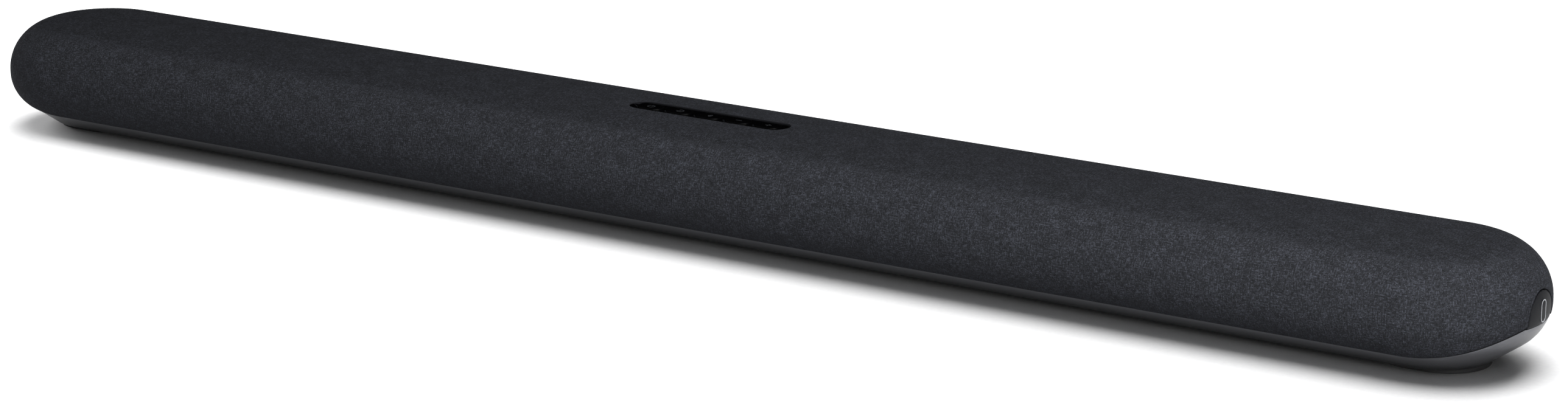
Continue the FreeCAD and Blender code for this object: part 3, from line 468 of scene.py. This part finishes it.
# ---- mesh helpers
def place_mesh(name: str, mesh: BMesh) -> Object:
    """Turn a bmesh into an object of the scene, at the origin.

    Args:
        name: The object's name.
        mesh: The mesh. It is freed.

    Returns:
        The new object.
    """
    data = bpy.data.meshes.new(name)
    mesh.to_mesh(data)
    mesh.free()
    made = bpy.data.objects.new(name, data)
    bpy.context.scene.collection.objects.link(made)
    return made


def finish_piece(name: str, mesh: BMesh, finish: Finish, body: str, smooth_deg: float) -> Object:
    """Turn a bmesh into a dressed piece that rides on a body.

    Args:
        name: The piece's name.
        mesh: The mesh, in the frame's own place. It is freed.
        finish: The finish it gets.
        body: The body it rides on.
        smooth_deg: Edges sharper than this many degrees stay sharp.

    Returns:
        The new object.
    """
    bmesh.ops.recalc_face_normals(mesh, faces=mesh.faces)
    limit = math.radians(smooth_deg)
    for face in mesh.faces:
        face.smooth = True
    for edge in mesh.edges:
        edge.smooth = edge.calc_face_angle(0.0) < limit
    piece = place_mesh(name, mesh)
    finish.dress(piece)
    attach(piece, body)
    LOG.info("built %s: %d faces", name, len(piece.data.polygons))
    return piece


def dress_nodes(finishes: dict[str, Finish]) -> None:
    """Give CAD nodes their finishes.

    Args:
        finishes: Node names with their finishes. A name without its side stands for both sides.
    """
    for node, finish in finishes.items():
        for name in (node, *(f"{node}_{side}" for side in SIDES)):
            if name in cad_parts:
                finish.dress(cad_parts[name])
                LOG.info("dressed %s", name)


def ease_edges(node: str, width: float, segments: int = 2) -> None:
    """Break a rigid CAD node's sharp edges with a small radius, as a mould leaves them.

    Args:
        node: The CAD node's name.
        width: The width of the broken edge.
        segments: Steps across the edge.
    """
    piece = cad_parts[node]
    weld = piece.modifiers.new("weld", "WELD")
    weld.merge_threshold = 0.002 * MM
    flats = piece.modifiers.new("flats", "DECIMATE")
    flats.decimate_type = "DISSOLVE"
    flats.angle_limit = math.radians(0.4)       # joins only the triangles of one flat face
    bevel = piece.modifiers.new("edge", "BEVEL")
    bevel.width = width
    bevel.segments = segments
    bevel.limit_method = "ANGLE"
    bevel.angle_limit = math.radians(32.0)      # leaves the steps of round faces alone
    bevel.use_clamp_overlap = True
    bevel.harden_normals = True
    for face in piece.data.polygons:
        face.use_smooth = True


def round_loop(mesh: BMesh, centre: Vector, length: float, width: float,
               steps: int) -> list[BMVert]:
    """Add the corners of a round-ended loop that lies in plan, long in X.

    Args:
        mesh: The mesh that gets it.
        centre: Its middle.
        length: Its end-to-end length.
        width: Its width.
        steps: Steps round each end.

    Returns:
        Its vertices in order.
    """
    radius = width / 2
    reach = length / 2 - radius
    ring = []
    for side in (1, -1):
        for i in range(steps + 1):
            angle = math.pi * (i / steps - 0.5) + (0 if side > 0 else math.pi)
            offset = Vector((side * reach + radius * math.cos(angle), radius * math.sin(angle), 0))
            ring.append(mesh.verts.new(centre + offset))
    return ring


def raise_faces(mesh: BMesh, faces: list[BMFace],
                move: tuple[float, float, float]) -> list[BMVert]:
    """Extrude faces and move the new ones.

    Args:
        mesh: The mesh to change.
        faces: The faces to extrude.
        move: How far the new faces go.

    Returns:
        The new vertices.
    """
    grown = bmesh.ops.extrude_face_region(mesh, geom=faces)["geom"]
    moved = [v for v in grown if isinstance(v, BMVert)]
    bmesh.ops.translate(mesh, verts=moved, vec=move)
    return moved


def round_bar(mesh: BMesh, centre: Vector, length: float, width: float, height: float,
              steps: int = 8) -> list[BMVert]:
    """Add a flat round-ended bar that lies in plan, long in X.

    Args:
        mesh: The mesh that gets it.
        centre: The middle of its underside.
        length: Its end-to-end length.
        width: Its width.
        height: Its thickness.
        steps: Steps round each end.

    Returns:
        Its vertices.
    """
    ring = round_loop(mesh, centre, length, width, steps)
    return ring + raise_faces(mesh, [mesh.faces.new(ring)], (0, 0, height))


# ---- outer form
@dataclass(frozen=True)
class Section:
    """The bar's section: a crowned top, round shoulders, a straight waist, a tucked-in side."""

    half_depth: float = 52.5 * MM
    height: float = 59.2 * MM
    crown_radius: float = 300.0 * MM
    shoulder_radius: float = 26.0 * MM
    side_radius: float = 21.1 * MM
    waist_height: float = 30.5 * MM
    chamfer: float = math.radians(35.0)
    hem_height: float = 11.7 * MM
    hem_radius: float = 95.0 * MM
    half_length: float = 450.0 * MM
    side_steps: int = 14
    shoulder_steps: int = 20
    crown_steps: int = 8

    @property
    def straight(self) -> float:
        """Half the length of the straight middle."""
        return self.half_length - self.half_depth

    @property
    def lean(self) -> float:
        """Sine of the slope at which the crown meets the shoulder."""
        return (self.half_depth - self.shoulder_radius) / (self.crown_radius - self.shoulder_radius)

    @property
    def shoulder_z(self) -> float:
        """Height of the shoulder arc's centre."""
        arm = self.crown_radius - self.shoulder_radius
        return self.height - self.crown_radius + arm * math.sqrt(1 - self.lean ** 2)

    @property
    def low(self) -> tuple[float, float]:
        """Where the side's arc meets the straight tucked-in part, out from the middle and up."""
        return (self.half_depth - self.side_radius * (1 - math.sin(self.chamfer)),
                self.waist_height - self.side_radius * math.cos(self.chamfer))

    def outline(self) -> list[tuple[float, float]]:
        """Give the half section from the hem up to the middle of the crown.

        Returns:
            Points as (distance from the middle, height).
        """
        low_r, low_z = self.low
        points = [(low_r - (low_z - self.hem_height) / math.tan(self.chamfer), self.hem_height)]
        side_r = self.half_depth - self.side_radius
        for i in range(self.side_steps + 1):
            angle = (self.chamfer - math.pi / 2) * (1 - i / self.side_steps)
            points.append((side_r + self.side_radius * math.cos(angle),
                           self.waist_height + self.side_radius * math.sin(angle)))
        shoulder_r = self.half_depth - self.shoulder_radius
        for i in range(self.shoulder_steps + 1):
            angle = math.acos(self.lean) * i / self.shoulder_steps
            points.append((shoulder_r + self.shoulder_radius * math.cos(angle),
                           self.shoulder_z + self.shoulder_radius * math.sin(angle)))
        crown_z = self.height - self.crown_radius
        for i in range(1, self.crown_steps + 1):
            angle = math.asin(self.lean) * (1 - i / self.crown_steps)
            points.append((self.crown_radius * math.sin(angle),
                           crown_z + self.crown_radius * math.cos(angle)))
        return points

    def radius_at(self, z: float) -> float:
        """Give the section's half width at a height below the shoulder's centre.

        Args:
            z: The height.

        Returns:
            The distance from the middle to the surface.
        """
        drop = max(self.waist_height - z, 0.0)
        low_r, low_z = self.low
        if z >= low_z:
            return (self.half_depth - self.side_radius
                    + math.sqrt(self.side_radius ** 2 - drop ** 2))
        return low_r - (low_z - z) / math.tan(self.chamfer)

    def hem_at(self, x: float) -> float:
        """Give the hem's height, which rises round both ends, at a place along the bar."""
        past = max(abs(x) - self.straight, 0.0)
        return self.hem_height + self.hem_radius - math.sqrt(self.hem_radius ** 2 - past ** 2)


@dataclass
class ClothSleeve:
    """The stretched cloth cover, with its hem and the turned edges of its openings."""

    section: Section
    thickness: float = 0.95 * MM
    edge: float = 0.32 * MM
    end_steps: int = 48
    straight_steps: int = 60
    slot_gap: float = 0.4 * MM
    slot_depth: float = 8.0 * MM
    arch_gap: float = 0.8 * MM
    arch_spring: float = 30.0 * MM
    bay_radius: float = 2.5 * MM
    flat: tuple[float, float] = (0.90, 0.185)

    def surface(self) -> BMesh:
        """Make the outer surface of the right half by a spin and an extrusion, then mirror it.

        Returns:
            The whole outer surface as an open mesh.
        """
        form = self.section
        mesh = bmesh.new()
        corner = Vector((form.straight, 0, 0))
        ring = [mesh.verts.new(corner + Vector((0, -r, z))) for r, z in form.outline()]
        first = [mesh.edges.new(pair) for pair in zip(ring, ring[1:])]
        spun = bmesh.ops.spin(mesh, geom=ring + first, cent=corner, axis=(0, 0, 1), angle=math.pi,
                              steps=self.end_steps, use_merge=False, use_duplicate=False)
        last = [g for g in spun["geom_last"] if isinstance(g, BMEdge)]
        step = (-form.straight / self.straight_steps, 0, 0)
        for line in (first, last):
            for _ in range(self.straight_steps):
                grown = bmesh.ops.extrude_edge_only(mesh, edges=line)["geom"]
                moved = {g for g in grown if isinstance(g, BMVert)}
                bmesh.ops.translate(mesh, verts=list(moved), vec=step)
                line = [g for g in grown if isinstance(g, BMEdge)
                        and all(v in moved for v in g.verts)]
        self.raise_hem(mesh)
        bmesh.ops.mirror(mesh, geom=mesh.verts[:] + mesh.edges[:] + mesh.faces[:],
                         matrix=Matrix.Identity(4), merge_dist=MERGE, axis="X")
        bmesh.ops.remove_doubles(mesh, verts=mesh.verts, dist=MERGE)
        bmesh.ops.recalc_face_normals(mesh, faces=mesh.faces)
        crown = max(mesh.faces, key=lambda f: f.calc_center_median().z)
        crown.normal_update()
        if crown.normal.z < 0:
            bmesh.ops.reverse_faces(mesh, faces=mesh.faces)
        return mesh

    def raise_hem(self, mesh: BMesh) -> None:
        """Slide the lower cloth up round the end, so that its edge follows the rising hem.

        Args:
            mesh: The half surface.
        """
        form = self.section
        top = form.shoulder_z
        for vert in mesh.verts:
            if vert.co.x <= form.straight or vert.co.z >= top:
                continue
            heading = Vector((vert.co.x - form.straight, vert.co.y, 0)).normalized()
            z = vert.co.z
            share = (z - form.hem_height) / (top - form.hem_height)
            for _ in range(6):      # the hem's height and the radius settle together
                hem = form.hem_at(form.straight + heading.x * form.radius_at(z))
                z = hem + share * (top - hem)
            radius = form.radius_at(z)
            vert.co = Vector((form.straight + heading.x * radius, heading.y * radius, z))

    def lay_threads(self, mesh: BMesh) -> None:
        """Lay a map on the cloth, in metres: round the bar one way and down its side the other.

        Args:
            mesh: The outer surface.
        """
        form = self.section
        points = list(reversed(form.outline()))
        table, travelled = [(points[0][1], 0.0)], 0.0
        for (r0, z0), (r1, z1) in zip(points, points[1:]):
            travelled += math.hypot(r1 - r0, z1 - z0)
            table.append((z1, travelled))
        layer = mesh.loops.layers.uv.new("wrap")
        run, turn = 2 * form.straight, form.half_depth
        for face in mesh.faces:
            rear = face.calc_center_median().y > 0
            for loop in face.loops:
                x, y, z = loop.vert.co
                past = abs(x) - form.straight
                reach = min(max(x, -form.straight), form.straight) + form.straight
                if past > 0:
                    reach += math.copysign(math.atan2(past, max(abs(y), 1e-9)) * turn, x)
                u = run + math.pi * turn - reach if rear else reach
                above = next((i for i, row in enumerate(table) if row[0] <= z), len(table) - 1)
                z0, s0 = table[max(above - 1, 0)]
                z1, s1 = table[above]
                share = (z0 - z) / (z0 - z1) if z0 > z1 else 0.0
                loop[layer].uv = (u, s0 + share * (s1 - s0))

    def slot_tool(self) -> BMesh:
        """Make the round-ended bar that cuts the key slot.

        Returns:
            The tool as a mesh.
        """
        low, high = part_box("control_panel")
        tool = bmesh.new()
        round_bar(tool, Vector((0, 0, low.z - self.slot_depth)), high.x - low.x + 2 * self.slot_gap,
                  high.y - low.y + 2 * self.slot_gap, 2.5 * self.slot_depth, steps=16)
        return tool

    def bay_tool(self) -> BMesh:
        """Make the round-cornered block that cuts the opening of the connector bay.

        Returns:
            The tool as a mesh.
        """
        low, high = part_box("connector_bay")
        reach = 40 * MM
        tool = bmesh.new()
        bmesh.ops.create_cube(tool, size=1.0)
        bmesh.ops.scale(tool, verts=tool.verts, vec=(high.x - low.x, reach, high.z - low.z))
        level = [e for e in tool.edges if abs(e.verts[0].co.y - e.verts[1].co.y) > reach / 2]
        bmesh.ops.bevel(tool, geom=level, offset=self.bay_radius, segments=5, profile=0.5,
                        affect="EDGES", material=-1)
        bmesh.ops.translate(tool, verts=tool.verts,
                            vec=(0, low.y + reach / 2, (low.z + high.z) / 2))
        return tool

    def arch_tool(self) -> BMesh:
        """Make the arch-topped bar that runs through both ends.

        Returns:
            The tool as a mesh.
        """
        low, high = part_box("end_badge_right")
        half = (high.y - low.y) / 2 + self.arch_gap
        top = high.z + self.arch_gap
        rise = top - self.arch_spring
        radius = (half ** 2 + rise ** 2) / (2 * rise)
        sweep = math.asin(half / radius)
        reach = self.section.half_length + 10 * MM
        corners = [(half, low.z - self.arch_gap), (-half, low.z - self.arch_gap)]
        corners += [(radius * math.sin(a), top - radius + radius * math.cos(a))
                    for a in (sweep * (i / 8 - 1) for i in range(17))]
        tool = bmesh.new()
        face = tool.faces.new([tool.verts.new((-reach, y, z)) for y, z in corners])
        raise_faces(tool, [face], (2 * reach, 0, 0))
        return tool

    def build(self) -> Object:
        """Build the cover and put it in place of its plain solid.

        Returns:
            The cover.
        """
        mesh = self.surface()
        self.lay_threads(mesh)
        raw = place_mesh("cover_raw", mesh)
        wall = raw.modifiers.new("wall", "SOLIDIFY")
        wall.thickness = self.thickness
        wall.offset = -1.0
        wall.use_even_offset = True
        tools = []
        for i, shape in enumerate((self.slot_tool(), self.bay_tool(), self.arch_tool())):
            bmesh.ops.recalc_face_normals(shape, faces=shape.faces)
            tools.append(place_mesh(f"cutter_{i}", shape))
            opening = raw.modifiers.new("opening", "BOOLEAN")
            opening.operation = "DIFFERENCE"
            opening.solver = "EXACT"
            opening.object = tools[-1]
        graph = bpy.context.evaluated_depsgraph_get()
        cut = bmesh.new()
        cut.from_mesh(bpy.data.meshes.new_from_object(raw.evaluated_get(graph)))
        for leftover in (raw, *tools):
            bpy.data.objects.remove(leftover)
        bmesh.ops.remove_doubles(cut, verts=cut.verts, dist=2 * MERGE)
        rims = [e for e in cut.edges if e.calc_face_angle(0.0) > math.radians(50)]
        bmesh.ops.bevel(cut, geom=rims, offset=self.edge, segments=3, profile=0.5, affect="EDGES",
                        material=-1, clamp_overlap=True)
        cover = finish_piece("cloth_cover", cut, Finish.CLOTH, "root", 60.0)
        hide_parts("fabric_cover")
        return cover


@dataclass
class Shell:
    """The rigid shell: housing, tray, gasket, feet, screws and inserts."""

    tray_edge: float = 0.3 * MM
    foot_edge: float = 0.4 * MM

    def dress(self) -> None:
        """Give the shell its finishes and ease the edges that show."""
        dress_nodes({"upper_housing": Finish.HOUSING, "base_tray": Finish.BAND,
                     "hem_gasket": Finish.FOAM, "foot": Finish.RUBBER,
                     "bracket_inserts": Finish.BRASS, "assembly_screws": Finish.ZINC})
        ease_edges("base_tray", self.tray_edge)
        for side in SIDES:
            ease_edges(f"foot_{side}", self.foot_edge)


# ---- key panel
class KeyMark(Enum):
    """The plain pictogram printed on each key."""

    POWER = "button_power"
    SOURCE = "button_source"
    PAIRING = "button_pairing"
    QUIETER = "button_volume_down"
    LOUDER = "button_volume_up"


@dataclass
class KeyPanel:
    """The polished panel and its five keys, each with a small printed pictogram."""

    mark: float = 4.6 * MM
    stroke: float = 0.55 * MM
    print_height: float = 0.03 * MM
    panel_edge: float = 0.25 * MM
    key_edge: float = 0.35 * MM

    def ring(self, mesh: BMesh, centre: Vector, radius: float, start: float,
             sweep: float) -> None:
        """Add a flat printed arc.

        Args:
            mesh: The mesh that gets it.
            centre: The arc's centre on the key's top.
            radius: The arc's middle radius.
            start: Its first angle.
            sweep: The angle it covers.
        """
        half = self.stroke / 2
        corners = [mesh.verts.new(centre + Vector((radius + dx, 0, dz)))
                   for dx, dz in ((-half, 0), (half, 0), (half, self.print_height),
                                  (-half, self.print_height))]
        bmesh.ops.rotate(mesh, verts=corners, cent=centre, matrix=Matrix.Rotation(start, 3, "Z"))
        face = mesh.faces.new(corners)
        bmesh.ops.spin(mesh, geom=[face, *face.edges, *corners], cent=centre, axis=(0, 0, 1),
                       angle=sweep, steps=28, use_merge=False, use_duplicate=False)

    def bar(self, mesh: BMesh, centre: Vector, length: float, angle: float) -> None:
        """Add a flat printed stroke.

        Args:
            mesh: The mesh that gets it.
            centre: The stroke's middle on the key's top.
            length: Its length.
            angle: Its turn in plan.
        """
        verts = round_bar(mesh, centre, length, self.stroke, self.print_height, steps=6)
        bmesh.ops.rotate(mesh, verts=verts, cent=centre, matrix=Matrix.Rotation(angle, 3, "Z"))

    def draw(self, mark: KeyMark, mesh: BMesh, centre: Vector) -> None:
        """Draw one pictogram.

        Args:
            mark: Which pictogram.
            mesh: The mesh that gets it.
            centre: The middle of the key's top.
        """
        radius, quarter = self.mark / 2, math.pi / 2
        if mark is KeyMark.POWER:
            gap = 0.6       # half the angle that the ring leaves open at the top
            self.ring(mesh, centre, radius * 0.8, quarter + gap, 2 * math.pi - 2 * gap)
            self.bar(mesh, centre + Vector((0, radius * 0.62, 0)), radius * 0.9, quarter)
        elif mark is KeyMark.SOURCE:
            half = 2.3      # half the angle of the arc that the arrow's stroke enters
            self.ring(mesh, centre, radius * 0.8, -half, 2 * half)
            self.bar(mesh, centre - Vector((radius * 0.45, 0, 0)), radius * 1.2, 0.0)
        elif mark is KeyMark.PAIRING:
            half = 0.8      # half the angle of each wave
            for reach in (0.35, 0.7, 1.05):
                self.ring(mesh, centre - Vector((radius * 0.5, 0, 0)), radius * reach, -half,
                          2 * half)
        else:
            length, inner = self.mark * 0.8, self.stroke * 0.45
            self.bar(mesh, centre, length, 0.0)
            arm = length / 2 - inner
            for side in (1, -1) if mark is KeyMark.LOUDER else ():
                self.bar(mesh, centre + Vector((0, side * (inner + arm / 2), 0)), arm, quarter)

    def build(self) -> None:
        """Dress the panel, its keys and what carries them, and print the pictograms."""
        dress_nodes({"panel_carrier": Finish.HOUSING, "button_board": Finish.BOARD,
                     "tactile_switches": Finish.SOCKET, "control_panel": Finish.GLOSS,
                     **{mark.value: Finish.KEY for mark in KeyMark}})
        ease_edges("control_panel", self.panel_edge)
        for mark in KeyMark:
            node = mark.value
            ease_edges(node, self.key_edge, segments=3)
            low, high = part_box(node)
            mesh = bmesh.new()
            self.draw(mark, mesh, Vector(((low.x + high.x) / 2, (low.y + high.y) / 2, high.z)))
            finish_piece(f"{node}_mark", mesh, Finish.LEGEND, node, 40.0)


# ---- end badges
@dataclass
class EndBadge:
    """A blank arch-shaped badge in the end, with one plain printed pill outline."""

    side: str
    pill_length: float = 10.8 * MM
    pill_width: float = 5.2 * MM
    stroke: float = 0.5 * MM
    print_height: float = 0.05 * MM
    drop: float = 1.6 * MM
    edge: float = 0.3 * MM

    def build(self) -> None:
        """Dress the badge and print its mark."""
        node = f"end_badge_{self.side}"
        Finish.BADGE.dress(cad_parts[node])
        ease_edges(node, self.edge)
        low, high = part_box(node)
        sign = 1 if self.side == "right" else -1
        mesh = bmesh.new()
        loops = []
        for inset in (0.0, self.stroke):
            ring = round_loop(mesh, Vector(), self.pill_length - 2 * inset,
                              self.pill_width - 2 * inset, 12)
            loops += [mesh.edges.new(pair) for pair in zip(ring, ring[1:] + ring[:1])]
        bmesh.ops.bridge_loops(mesh, edges=loops)
        raise_faces(mesh, mesh.faces[:], (0, 0, self.print_height))
        bmesh.ops.transform(mesh, matrix=Matrix.Rotation(sign * math.pi / 2, 4, "Y"),
                            verts=mesh.verts)
        middle = (low.z + high.z) / 2 - self.drop
        bmesh.ops.translate(mesh, verts=mesh.verts, vec=(high.x if sign > 0 else low.x, 0, middle))
        finish_piece(f"{node}_mark", mesh, Finish.MARK, "root", 40.0)


# ---- rear bay
@dataclass
class RearBay:
    """The recessed connector bay with its sockets and their contacts."""

    contact_width: float = 0.35 * MM
    contact_length: float = 6.0 * MM
    contact_height: float = 0.06 * MM
    contact_depth: float = 5.0 * MM

    def contacts(self, node: str, count: int, pitch: float, tongue_top: float) -> None:
        """Add the gold contacts that lie on a socket's tongue.

        Args:
            node: The socket's node.
            count: How many contacts.
            pitch: Their spacing.
            tongue_top: The height of the tongue's top.
        """
        low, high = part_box(node)
        mesh = bmesh.new()
        for i in range(count):
            x = (low.x + high.x) / 2 + (i - (count - 1) / 2) * pitch
            made = bmesh.ops.create_cube(mesh, size=1.0)["verts"]
            bmesh.ops.scale(mesh, verts=made,
                            vec=(self.contact_width, self.contact_length, self.contact_height))
            bmesh.ops.translate(mesh, verts=made, vec=(x, high.y - self.contact_depth, tongue_top))
        finish_piece(f"{node}_contacts", mesh, Finish.GOLD, "root", 30.0)

    def build(self) -> None:
        """Dress the bay, its sockets and their contacts."""
        dress_nodes({"connector_bay": Finish.BAY, "video_socket": Finish.NICKEL,
                     "data_socket": Finish.NICKEL, "optical_socket": Finish.SOCKET,
                     "aux_socket": Finish.SOCKET, "mains_inlet": Finish.SOCKET})
        self.contacts("video_socket", 9, 1.0 * MM, 24.1 * MM)
        self.contacts("data_socket", 4, 2.3 * MM, 24.8 * MM)


# ---- inside
class Loudspeakers:
    """The baffle with its two loudspeakers, two tweeters and two bass ports."""

    def dress(self) -> None:
        """Give the loudspeakers their finishes."""
        dress_nodes({"front_baffle": Finish.HOUSING, "driver_frame": Finish.BASKET,
                     "driver_surround": Finish.RUBBER, "driver_cone": Finish.CONE,
                     "driver_magnet": Finish.FERRITE, "tweeter": Finish.BASKET,
                     "tweeter_dome": Finish.SILK, "bass_port": Finish.HOUSING})


class Electronics:
    """The main board with its heat sink, and the power supply."""

    def dress(self) -> None:
        """Give the electronics their finishes."""
        dress_nodes({"main_board": Finish.BOARD, "amplifier_heat_sink": Finish.SINK,
                     "power_supply_board": Finish.BOARD, "mains_transformer": Finish.CORE,
                     "smoothing_capacitors": Finish.SLEEVE, "supply_spacers": Finish.BRASS,
                     "board_spacers": Finish.BRASS})


# ---- studio
@dataclass(frozen=True)
class Lamp:
    """One rectangular soft lamp: where it hangs, what it faces, its size and its power in watts."""

    name: str
    place: tuple[float, float, float]
    target: tuple[float, float, float]
    size: tuple[float, float]
    power: float

    def hang(self, reach: Collection) -> None:
        """Hang the lamp.

        Args:
            reach: The group that says what it lights.
        """
        data = bpy.data.lights.new(self.name, "AREA")
        data.shape = "RECTANGLE"
        data.size, data.size_y = self.size
        data.energy = self.power
        lamp = bpy.data.objects.new(self.name, data)
        lamp.location = self.place
        heading = Vector(self.target) - Vector(self.place)
        lamp.rotation_euler = heading.to_track_quat("-Z", "Y").to_euler()
        lamp.light_linking.receiver_collection = reach
        bpy.context.scene.collection.objects.link(lamp)


@dataclass
class Studio:
    """White paper, a soft sky that is dark behind the bar, large lamps, and the camera."""

    camera_place: tuple[float, float, float] = (1.1702, -1.7658, 0.5848)
    camera_yaw: float = 32.513
    camera_pitch: float = 15.101
    camera_roll: float = 0.39
    lens: float = 99.96
    sensor: float = 36.0
    floor_size: float = 24.0
    sky: float = 0.26
    sky_heading: tuple[float, float, float] = (0.0, -0.92, 0.40)
    floor_lamps: tuple[Lamp, ...] = (
        Lamp("floor_light", (-0.15, 0.84, 3.0), (0.0, 0.1, 0.0), (3.4, 5.4), 250.0),
        Lamp("floor_side", (-1.20, -0.15, 0.55), (-0.45, 0.0, 0.0), (0.5, 0.5), 5.0))
    bar_lamps: tuple[Lamp, ...] = (
        Lamp("front_softbox", (1.30, -0.85, 0.75), (0.25, 0.0, 0.03), (0.8, 0.6), 18.0),
        Lamp("low_strip", (0.75, -0.90, 0.10), (0.35, 0.0, 0.02), (1.0, 0.16), 3.0),
        Lamp("top_softbox", (0.45, -0.35, 1.5), (0.1, 0.0, 0.03), (1.2, 0.8), 10.5))

    def floor(self) -> Object:
        """Lay the floor.

        Returns:
            The floor.
        """
        mesh = bmesh.new()
        bmesh.ops.create_grid(mesh, x_segments=1, y_segments=1, size=self.floor_size / 2)
        floor = place_mesh("studio_floor", mesh)
        Finish.PAPER.dress(floor)
        floor.visible_diffuse = False    # like paper lit on its own, it throws no light up
        return floor

    def light(self, floor: Object) -> None:
        """Hang the lamps: some light only the floor, the others light all but the floor.

        Args:
            floor: The floor.
        """
        for name, state, lamps in (("floor_only", "INCLUDE", self.floor_lamps),
                                   ("all_but_floor", "EXCLUDE", self.bar_lamps)):
            group = bpy.data.collections.new(name)
            group.objects.link(floor)
            group.collection_objects[0].light_linking.link_state = state
            for lamp in lamps:
                lamp.hang(group)

    def dim_sky(self) -> None:
        """Make the sky, which fades out away from its brightest direction."""
        world = bpy.data.worlds.new("soft_sky")
        world.use_nodes = True
        tree = world.node_tree
        tree.nodes.clear()
        heading = add(tree, "TexCoord")
        toward = add(tree, "VectorMath",
                     {0: heading.outputs["Generated"], 1: self.sky_heading},
                     operation="DOT_PRODUCT")
        fade = add(tree, "MapRange",
                   {0: toward.outputs["Value"], 1: -0.3, 2: 0.9, 3: 0.0, 4: self.sky})
        light = add(tree, "Background", {"Color": linear("#ffffff"), "Strength": fade})
        add(tree, "OutputWorld", {"Surface": light})
        bpy.context.scene.world = world

    def camera(self) -> None:
        """Set up the camera."""
        data = bpy.data.cameras.new("camera")
        data.sensor_fit = "HORIZONTAL"
        data.sensor_width = self.sensor
        data.lens = self.lens
        data.clip_end = 60.0
        camera = bpy.data.objects.new("camera", data)
        camera.location = self.camera_place
        turn = (Matrix.Rotation(math.radians(self.camera_yaw), 3, "Z")
                @ Matrix.Rotation(math.radians(90 - self.camera_pitch), 3, "X")
                @ Matrix.Rotation(math.radians(self.camera_roll), 3, "Z"))
        camera.rotation_euler = turn.to_euler()
        bpy.context.scene.collection.objects.link(camera)
        bpy.context.scene.camera = camera

    def build(self) -> None:
        """Build the whole studio."""
        bpy.context.scene.view_settings.view_transform = "Standard"
        self.dim_sky()
        self.light(self.floor())
        self.camera()


def main() -> None:
    """Build every piece in order and report each one."""
    logging.basicConfig(level=logging.INFO, format="%(name)s: %(message)s")
    Shell().dress()
    ClothSleeve(Section()).build()
    KeyPanel().build()
    for side in SIDES:
        EndBadge(side).build()
    RearBay().build()
    Loudspeakers().dress()
    Electronics().dress()
    Studio().build()


if __name__ == "__main__":
    main()
